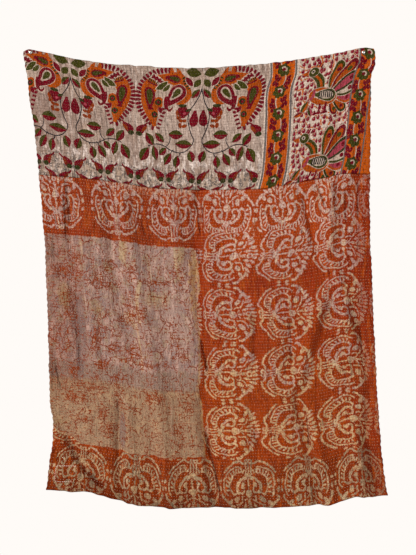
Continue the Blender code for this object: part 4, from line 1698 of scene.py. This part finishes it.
def crack_net(tree, cloth, cell, wander, width):
    """Lines between cells about cell mm wide: 1 on a line, 0 off it."""
    bend = noise_node(tree, cloth.vector, 1.4 / cell, 2.0, 0.6)
    moved = vector_math(tree, "MULTIPLY_ADD", bend.outputs[1], (wander, wander, 0.0),
                        cloth.vector)
    net = cells(tree, cell, "DISTANCE_TO_EDGE")
    feed(tree, net.inputs["Vector"], moved)
    return Value(tree, net.outputs["Distance"]).ramp(0.70 * width / cell, 0.30 * width / cell)


def paint_cracks(canvas, tree, cloth):
    """Fine orange cracks: branching lines, and dashes along the threads."""
    gather = gathered(Place(cloth.s, cloth.t), CRACKED)
    drift = noise_value(tree, cloth.vector, 1 / 46.0, 3.0, 0.6)
    gather = gather.times_plus(0.13, drift.ramp(0.35, 0.70, -0.02, 0.05))
    nets = ((54.0, 16.0, 2.6, 0.51), (26.0, 9.0, 2.6, 0.555), (12.0, 5.0, 2.4, 0.635))
    for cell, wander, width, least in nets:
        near = crack_net(tree, cloth, cell, wander, width)
        broken = noise_value(tree, cloth.vector, 1.3 / cell, 2.0, 0.6) + gather * 1.4
        canvas.paint(near * broken.ramp(least, least + 0.06, 0.0, 0.95), srgb(128, 46, 10))
    for stretch, least in (((0.24, 1.0), 0.680), ((1.0, 0.28), 0.705)):
        dashes = noise_value(tree, cloth.vector, 1 / 4.8, 1.0, 0.5, stretch) + gather
        canvas.paint(dashes.ramp(least, least + 0.04, 0.0, 0.88), srgb(140, 56, 14))
    jitter = noise_value(tree, cloth.vector, 1 / 14.0, 3.0, 0.7)
    bent = Place(jitter.times_plus(16.0, cloth.s - 8.0), jitter.times_plus(-16.0, cloth.t + 8.0))
    broken = noise_value(tree, cloth.vector, 1 / 8.0, 2.0, 0.6)
    for row in LONG_CRACKS:
        crack = shape_field(bent, row)
        canvas.paint(crack.ramp(0.6, -0.6, 0.0, 0.9) * (broken > 0.42), srgb(138, 54, 12))
    blots = noise_value(tree, cloth.vector, 1 / 9.0, 4.0, 0.7) + gather
    canvas.paint(blots.ramp(0.755, 0.81, 0.0, 0.80), srgb(146, 60, 16))


# Painted highlights along the pale field's creases, where the cloth is also a little faded.
PALE_CREASE_HIGHLIGHTS = tuple(Stroke(*row) for row in (
    (303, 664, 334, 758, 8, 0),
    (518, 664, 546, 785, 10, 0),
    (150, 690, 160, 742, 5, 0),
    (606, 690, 634, 790, 10, 0),
    (392, 800, 372, 960, 16, 6),
    (418, 700, 440, 800, 6, 0),
    (352, 960, 372, 1130, 8, 0),
))


# Painted highlights along creases of the rust cloth.
RUST_CREASE_HIGHLIGHTS = tuple(Stroke(*row) for row in (
    (288, 458, 303, 662, 9, 2),
    (318, 458, 372, 510, 8, 4),
    (496, 458, 532, 560, 9, 6),
    (560, 458, 600, 560, 6, 4),
    (632, 480, 637, 590, 7, 0),
    (845, 560, 842, 640, 8, 0),
    (1092, 470, 1122, 600, 9, 4),
    (1140, 470, 1160, 620, 9, 2),
))


PALE_TONES = (
    Tone(32.0, 4.0, 0.65, None, 0.48, 0.66, 0.60, srgb(168, 144, 110)),
    Tone(40.0, 3.0, 0.6, (1.0, 0.5), 0.48, 0.66, 0.60, srgb(144, 122, 118)),
    Tone(24.0, 3.0, 0.6, (1.0, 0.35), 0.50, 0.66, 0.80, srgb(204, 166, 150)),
)


def paint_pale_field(tree, cloth, inside):
    """Mauve grey above, beige below, with orange where the wax cracked, painted highlights, a
    painted pool of light and painted shade.
    """
    s, t = cloth.s, cloth.t
    vector = cloth.vector
    at = Place(s, t)
    canvas = Canvas(tree, srgb(170, 136, 123))
    canvas.paint_tones(vector, PALE_TONES)
    # The beige lower part, with a greyer band along its top.
    edge = noise_value(tree, vector, 1 / 22.0, 3.0, 0.6).times_plus(26.0, t - 13.0)
    canvas.paint(edge.ramp(1120.0, 1136.0, 0.0, 0.70), srgb(146, 119, 102))
    canvas.paint(edge.ramp(1186.0, 1202.0, 0.0, 0.80), srgb(167, 131, 99))
    light = noise_value(tree, vector, 1 / 36.0, 3.0, 0.6)
    canvas.paint(light.ramp(0.50, 0.70, 0.0, 0.65) * (t > 1196.0), srgb(192, 155, 118))
    # Darker mauve strips along folds, partly painted shade, and yellow dye that crept in.
    strip = oval(at, 126, 1030, 91, 370, 50).at_most(oval(at, 276, 1362, 90, 150, 40))
    canvas.paint(strip.ramp(0.0, -4.0, 0.0, 0.60), srgb(134, 112, 106))
    yellow = gathered(at, (
        Patch(66, 895, 26, 60, 1.0), Patch(320, 700, 24, 60, 1.0), Patch(545, 700, 22, 60, 0.9),
        Patch(450, 865, 70, 36, 0.8), Patch(205, 930, 40, 40, 0.7), Patch(255, 770, 34, 30, 0.7),
        Patch(330, 945, 40, 40, 0.7), Patch(610, 740, 16, 60, 1.0), Patch(20, 1360, 50, 24, 0.6),
    ))
    creep = noise_value(tree, vector, 1 / 16.0, 4.0, 0.7)
    canvas.paint((yellow + creep).ramp(0.86, 1.40, 0.0, 0.60), srgb(186, 152, 100))
    rim = (s - inside * 0.2).ramp(560.0, 596.0) + creep
    canvas.paint(rim.ramp(1.30, 1.60, 0.0, 0.75), srgb(200, 150, 92))
    # Painted highlights along the creases.
    for row in PALE_CREASE_HIGHLIGHTS:
        highlight_line = shape_field(at, row)
        canvas.paint(highlight_line.ramp(3.0, -3.0, 0.0, 0.50), CREAM)
    # A painted pool of light.
    lit = oval(at, 505, 950, 90, 220, 100)
    canvas.paint(lit.ramp(10.0, -34.0, 0.0, 0.60), srgb(200, 164, 148))
    # Painted shade towards the left edge, where the cloth curls away.
    left_edge_shade = s.ramp(230.0, 60.0, 0.0, 0.85) * t.ramp(1300.0, 1200.0)
    canvas.paint(left_edge_shade, srgb(222, 208, 204), "MULTIPLY")
    paint_cracks(canvas, tree, cloth)
    return canvas


# s and t of both ends in mm, the width, and how high the crease stands (below 0
# it is a groove).
LOWER_CREASES = tuple(SharpCrease(*row) for row in (
    # Along the pale field's right edge.
    (602, 1000, 614, 1060, 7, -1.8),
    (612, 1050, 632, 1124, 7, -2.0),
    (603, 1340, 620, 1450, 8, -2.2),
    (618, 1430, 660, 1566, 8, -2.2),
    # Within the pale field.
    (103, 1000, 112, 1062, 6, -0.7),
    (111, 1054, 122, 1134, 6, -0.7),
    (159, 850, 165, 955, 6, 0.9),
    (150, 688, 162, 748, 6, 0.9),
    (299, 700, 336, 748, 7, 1.0),
    (303, 664, 322, 712, 7, 0.9),
    (516, 680, 548, 746, 7, 1.0),
    (594, 690, 616, 760, 8, 0.7),
    (606, 660, 640, 742, 8, -0.8),
    (430, 700, 446, 808, 6, 0.8),
    (303, 770, 345, 798, 6, 0.9),
    (264, 1222, 304, 1274, 6, 1.0),
    (256, 1244, 257, 1338, 6, -0.9),
    (477, 1234, 475, 1384, 7, 0.9),
    (24, 1140, 44, 1244, 7, -1.0),
    (38, 1400, 112, 1530, 18, -1.3),
    (106, 1520, 210, 1598, 18, -1.2),
    # The rust cloth above it and at the right.
    (285, 500, 300, 590, 5, 1.3),
    (298, 580, 319, 730, 5, 1.5),
    (396, 584, 407, 640, 5, 1.3),
    (88, 520, 80, 690, 6, -1.4),
    (106, 462, 98, 640, 9, -1.2),
    (289, 458, 303, 660, 8, 1.3),
    (612, 470, 634, 640, 7, -0.9),
    (600, 606, 650, 640, 6, 1.0),
    (1066, 462, 1114, 592, 7, 1.2),
    (1086, 462, 1128, 570, 6, -1.0),
    (1142, 462, 1150, 640, 8, 1.1),
    (1160, 466, 1166, 610, 6, -0.9),
    (858, 616, 861, 900, 7, 0.9),
    (631, 500, 634, 584, 7, 1.1),
    (640, 500, 643, 590, 5, -0.9),
    (1206, 500, 1210, 640, 7, -0.9),
    (961, 1036, 962, 1096, 6, -1.3),
    (797, 1338, 800, 1404, 6, -0.9),
    (1036, 1290, 1018, 1428, 9, 1.0),
    (1012, 1290, 1000, 1424, 6, -1.0),
    (1195, 1100, 1196, 1192, 6, -0.9),
    (1244, 1000, 1248, 1104, 6, -1.0),
    (1252, 470, 1256, 620, 6, -0.9),
))


RUST_TONE = (Tone(120.0, 3.0, 0.55, None, 0.36, 0.66, 1.0, srgb(148, 45, 14)),)
# Streaks on the rust cloth: the first row is painted highlight along upright creases, the second
# darker streaks down, the third lighter ones across.
RUST_STREAKS = (
    Tone(13.0, 3.0, 0.6, (1.0, 0.14), 0.50, 0.72, 0.65, srgb(192, 86, 20)),
    Tone(6.0, 3.0, 0.6, (1.0, 0.12), 0.50, 0.72, 0.70, DEEP_RUST),
    Tone(4.0, 3.0, 0.6, (0.08, 1.0), 0.50, 0.78, 0.45, srgb(186, 80, 26)),
)


def lower_cloth():
    """The rust-orange cloth, its resist-dyed medallions and its pale field."""
    made, tree, shader = new_material("rust_resist_cloth", 0.84)
    cloth = Cloth(tree, waver=2.6)
    s, t = cloth.s, cloth.t
    inside = pale_field(tree, cloth)
    field = paint_pale_field(tree, cloth, inside)
    at, in_foot = resist_place(tree, *shifted(tree, cloth, 1 / 75.0, 17.0))
    wax = resist_medallion(at, tree)
    canvas = Canvas(tree, RUST)
    canvas.paint_tones(cloth.vector, RUST_TONE)
    canvas.paint(t.ramp(900.0, 1200.0, 0.0, 0.60), srgb(154, 60, 6))
    canvas.paint(s.ramp(640.0, 420.0, 0.0, 0.65) * t.ramp(760.0, 660.0), srgb(140, 54, 24))
    canvas.paint(t.ramp(1430.0, 1480.0, 0.0, 0.80), srgb(122, 46, 8))
    canvas.paint(s.ramp(1120.0, 1220.0, 0.0, 0.50), srgb(134, 38, 16))
    canvas.paint_tones(cloth.vector, RUST_STREAKS)
    uneven = noise_value(tree, cloth.vector, 1 / 10.0, 3.0, 0.75)
    reach = uneven.times_plus(8.6, -4.3)
    resist = (wax - reach).ramp(1.0, -0.8)
    tint = noise_value(tree, cloth.vector, 1 / 70.0, 2.0, 0.6)
    creamy = (t.times_plus(0.0006, tint) - 0.66).ramp(0.30, 0.62)
    wax_colour = mix_colours(tree, LILAC, CREAM, creamy)
    wax_colour = mix_colours(tree, wax_colour, SEA_GREY, in_foot * tint.ramp(0.40, 0.60, 0.0, 0.75))
    wax_colour = mix_colours(tree, wax_colour, srgb(144, 118, 92), in_foot * 0.22)
    # The wax and the rust are lighter in the upper right.
    upper_right = s.ramp(640.0, 780.0) * s.ramp(1220.0, 1120.0) * t.ramp(800.0, 640.0)
    wax_colour = mix_colours(tree, wax_colour, srgb(222, 190, 174), upper_right * 0.7)
    canvas.paint(upper_right * 0.45, srgb(182, 74, 24))
    # Painted highlight on the wax along upright creases.
    wax_highlight = noise_value(tree, cloth.vector, 1 / 11.0, 3.0, 0.6, (1.0, 0.16))
    wax_colour = mix_colours(tree, wax_colour, srgb(226, 196, 156), wax_highlight.ramp(0.52, 0.64, 0.0, 0.6))
    missed = noise_value(tree, cloth.vector, 1 / 6.0, 3.0, 0.7)
    cracked = noise_value(tree, cloth.vector, 1 / 16.0, 3.0, 0.6)
    whole = (cracked - 0.5).size().ramp(0.010, 0.030, 0.35, 1.0)
    edge_wear = s.ramp(1228.0, 1262.0, 1.0, 0.45)
    canvas.paint(resist * whole * edge_wear * missed.ramp(0.68, 0.50, 0.20, 1.0), wax_colour)
    # Painted highlights on the puckers along the seam and on the creases.
    fleck = noise_value(tree, cloth.vector, 1 / 6.0, 3.0, 0.7, (1.0, 0.45))
    near_seam = t.ramp(496.0, 470.0) * s.ramp(300.0, 350.0) * s.ramp(610.0, 560.0)
    rust_highlights = None
    for row in RUST_CREASE_HIGHLIGHTS:
        highlight_line = shape_field(Place(s, t), row).ramp(3.0, -3.0)
        rust_highlights = highlight_line if rust_highlights is None else rust_highlights.at_least(highlight_line)
    rust_highlights = rust_highlights.at_least(near_seam * 0.7)
    canvas.paint(rust_highlights * fleck.ramp(0.50, 0.60, 0.0, 0.85), srgb(228, 184, 152))
    canvas.paint(inside.ramp(1.0, -3.0), field.colour)
    age_and_shade_cloth(canvas, tree, cloth, srgb(200, 108, 50), inside.ramp(-2.0, 2.0, 0.36, 0.70))
    # Painted shade towards the hem.
    hem_shade = t.ramp(1545.0, 1610.0) * s.ramp(900.0, 760.0, 0.0, 0.55)
    canvas.paint(hem_shade, srgb(176, 150, 140), "MULTIPLY")
    creases = sharp_creases(Place(s, t), LOWER_CREASES)
    # Painted shade in the grooves of the pressed creases, and painted highlight on their ridges in
    # the pale field.
    canvas.paint(creases.ramp(-0.15, -0.9, 0.0, 0.58), srgb(104, 60, 50), "MULTIPLY")
    canvas.paint(creases.ramp(0.15, 1.0, 0.0, 0.35) * inside.ramp(0.0, -3.0), srgb(226, 190, 160))
    finish_cloth(tree, shader, canvas, cloth, 1.5, creases)
    return made


BACK_TONES = (
    Tone(140.0, 3.0, 0.6, None, 0.35, 0.70, 1.0, srgb(134, 60, 32)),
    Tone(40.0, 4.0, 0.65, None, 0.50, 0.80, 0.45, srgb(172, 112, 78)),
    Tone(3.5, 2.0, 0.6, (1.0, 0.05), 0.50, 0.80, 0.5, srgb(112, 48, 26)),
)


def back_cloth():
    """The plain backing, which the photograph doesn't show."""
    made, tree, shader = new_material("plain_backing", 0.86)
    cloth = Cloth(tree, waver=1.0)
    canvas = Canvas(tree, srgb(150, 74, 42))
    canvas.paint_tones(cloth.vector, BACK_TONES)
    age_and_shade_cloth(canvas, tree, cloth, srgb(190, 120, 80), 0.70)
    finish_cloth(tree, shader, canvas, cloth, 0.9)
    return made


FIBRE_SCALE = 900.0
THREAD_SHEEN = 0.15
THREAD_BUMP = 0.0002
SCUFF_SCALE = 700.0
STEEL_BUMP = 0.00005


def thread_material(name, pale, dark):
    """Cotton thread, from pale to dark by each stitch's tint."""
    made, tree, shader = new_material(name, 0.7)
    tint = Value(tree, read_attribute(tree, "tint").outputs["Fac"])
    colour = mix_colours(tree, pale, dark, tint)
    fuzz = tree.nodes.new("ShaderNodeTexNoise")
    fuzz.inputs["Scale"].default_value = FIBRE_SCALE
    fuzz.inputs["Detail"].default_value = 2.0
    fibres = Value(tree, fuzz.outputs[0])
    colour = mix_colours(tree, colour, srgb(150, 110, 90), fibres.ramp(0.45, 0.75, 0.0, 0.25))
    tree.links.new(colour, shader.inputs["Base Color"])
    shader.inputs["Sheen Weight"].default_value = THREAD_SHEEN
    add_bump(tree, shader, fibres, THREAD_BUMP)
    return made


def steel_material():
    """Polished steel, faintly brushed and a little dulled."""
    made, tree, shader = new_material("pin_steel", 0.28)
    shader.inputs["Metallic"].default_value = 1.0
    scuffs = tree.nodes.new("ShaderNodeTexNoise")
    scuffs.inputs["Scale"].default_value = SCUFF_SCALE
    scuffs.inputs["Detail"].default_value = 4.0
    wear = Value(tree, scuffs.outputs[0])
    colour = mix_colours(tree, srgb(214, 210, 204), srgb(150, 146, 142), wear.ramp(0.45, 0.75))
    tree.links.new(colour, shader.inputs["Base Color"])
    feed(tree, shader.inputs["Roughness"], wear.ramp(0.3, 0.8, 0.20, 0.42))
    add_bump(tree, shader, wear, STEEL_BUMP)
    return made


# ---------------------------------------------------------------------------
# Camera, lights and floor.
# ---------------------------------------------------------------------------
VIEW_HEIGHT = 2.026         # what the picture takes in at the cloth
VIEW_CENTRE = (0.0402, -0.036, -0.8267)
CAMERA_DISTANCE = 4.5
SENSOR = 36.0


def add_camera():
    """A long lens straight at the cloth."""
    data = bpy.data.cameras.new("camera")
    data.sensor_width = SENSOR
    data.lens = SENSOR * CAMERA_DISTANCE / VIEW_HEIGHT
    camera = bpy.data.objects.new("camera", data)
    x, y, z = VIEW_CENTRE
    camera.location = (x, y - CAMERA_DISTANCE, z)
    camera.rotation_euler = (radians(90), 0, 0)
    bpy.context.scene.collection.objects.link(camera)
    bpy.context.scene.camera = camera


Light = namedtuple("Light", "name location size power aim")
LIGHTS = (
    Light("key", (-5.2, -5.1, 1.7), (1.65, 2.1), 464.0, (0.0, 0.0, -0.8)),
    Light("fill", (2.4, -4.0, -0.2), (2.4, 2.4), 50.0, (0.0, 0.0, -0.9)),
    Light("rear", (0.6, 3.6, 0.8), (2.0, 2.0), 90.0, (0.0, 0.0, -0.8)),
)


def add_light(name, location, size, power, aim):
    """An oblong light that faces the point aimed at."""
    data = bpy.data.lights.new(name, "AREA")
    data.shape = "RECTANGLE"
    data.size, data.size_y = size
    data.energy = power
    light = bpy.data.objects.new(name, data)
    light.location = location
    direction = np.array(aim) - np.array(location)
    light.rotation_euler = (
        np.arccos(-direction[2] / np.linalg.norm(direction)),
        0.0,
        atan2(direction[1], direction[0]) - radians(90),
    )
    bpy.context.scene.collection.objects.link(light)


WORLD_FILL = 0.42


def add_world():
    """An even off-white surround, dimmer as a light than it looks."""
    world = bpy.data.worlds.new("studio")
    world.use_nodes = True
    tree = world.node_tree
    tree.nodes.clear()
    seen = tree.nodes.new("ShaderNodeBackground")
    seen.inputs["Color"].default_value = srgb(255, 251, 247)
    fill = tree.nodes.new("ShaderNodeBackground")
    fill.inputs["Color"].default_value = srgb(255, 252, 248)
    fill.inputs["Strength"].default_value = WORLD_FILL
    path = tree.nodes.new("ShaderNodeLightPath")
    mix = tree.nodes.new("ShaderNodeMixShader")
    tree.links.new(path.outputs["Is Camera Ray"], mix.inputs[0])
    tree.links.new(fill.outputs[0], mix.inputs[1])
    tree.links.new(seen.outputs[0], mix.inputs[2])
    output = tree.nodes.new("ShaderNodeOutputWorld")
    tree.links.new(mix.outputs[0], output.inputs[0])
    bpy.context.scene.world = world
    bpy.context.scene.view_settings.view_transform = "Standard"


FLOOR_Z = -2.15
FLOOR_Y = -0.2
FLOOR_RADIUS = 1.25


def add_floor():
    bpy.ops.mesh.primitive_circle_add(vertices=96, radius=FLOOR_RADIUS, fill_type="NGON",
                                      location=(0, FLOOR_Y, FLOOR_Z))
    floor = bpy.context.object
    floor.name = "floor"
    made, _, shader = new_material("pale_floor", 0.7)
    shader.inputs["Base Color"].default_value = srgb(232, 229, 224)
    floor.data.materials.append(made)


# ---------------------------------------------------------------------------
# Put together.
# ---------------------------------------------------------------------------
UPPER_SEED = 5
LOWER_SEED = 6


def add_stitches(name, sheet, front, seed, thread):
    """All running stitches on one side of a sheet."""
    layer = sheet.front if front else sheet.back
    sign = 1.0 if front else -1.0
    length = FRONT_STITCH if front else BACK_STITCH
    offset = 0.0 if front else 0.5 * STITCH_PITCH
    places = running_stitches(sheet, layer, sign, length, offset, seed)
    made = stitch_mesh(name, *places[:4], THREAD_WIDTH, THREAD_RISE, places[4], thread)
    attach(made, BODY)
    return made


def add_panel(name, node, sheet, cloth, back, thread, seed):
    """A sheet in place of a CAD panel, and the stitches on both sides."""
    panel = sheet_object(name, sheet, cloth, back)
    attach(panel, BODY)
    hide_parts(node)
    front = add_stitches(name + "_stitches", sheet, True, seed, thread)
    rear = add_stitches(name + "_back_stitches", sheet, False, seed, thread)
    return panel, [front, rear]


def add_sewn_outline(sheet, thread):
    """The small outline sewn near the lower left corner."""
    places = sewn_outline(sheet)
    made = stitch_mesh("corner_stitches", *places[:4], SEWN_WIDTH, THREAD_RISE, places[4], thread)
    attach(made, BODY)
    return made


def build():
    """Make the picture's surroundings, then the quilt."""
    add_camera()
    add_world()
    for light in LIGHTS:
        add_light(*light)
    add_floor()
    tables = flat_tables()
    lower_top = SEAM_V - SEAM_OVERLAP / CUT_HEIGHT
    back = back_cloth()
    pale_thread = thread_material("pale_thread", srgb(162, 134, 116), srgb(114, 86, 72))
    rust_thread = thread_material("rust_thread", srgb(242, 212, 184), srgb(206, 136, 98))
    sewn_thread = thread_material("sewn_thread", srgb(240, 204, 186), srgb(214, 168, 148))
    upper_sheet = make_sheet(0.0, SEAM_V, UPPER_ROWS, UPPER_COLUMNS, tables)
    upper, upper_pieces = add_panel("upper_cloth", "upper_panel", upper_sheet, upper_cloth(),
                                    back, pale_thread, UPPER_SEED)
    lower_sheet = make_sheet(lower_top, 1.0, LOWER_ROWS, LOWER_COLUMNS, tables)
    lower, lower_pieces = add_panel("lower_cloth", "lower_panel", lower_sheet, lower_cloth(),
                                    back, rust_thread, LOWER_SEED)
    lower_pieces.append(add_sewn_outline(lower_sheet, sewn_thread))
    steel = steel_material()
    for node in ("pin_left", "pin_right"):
        for slot in frame["nodes"][node].material_slots:
            slot.material = steel


build()
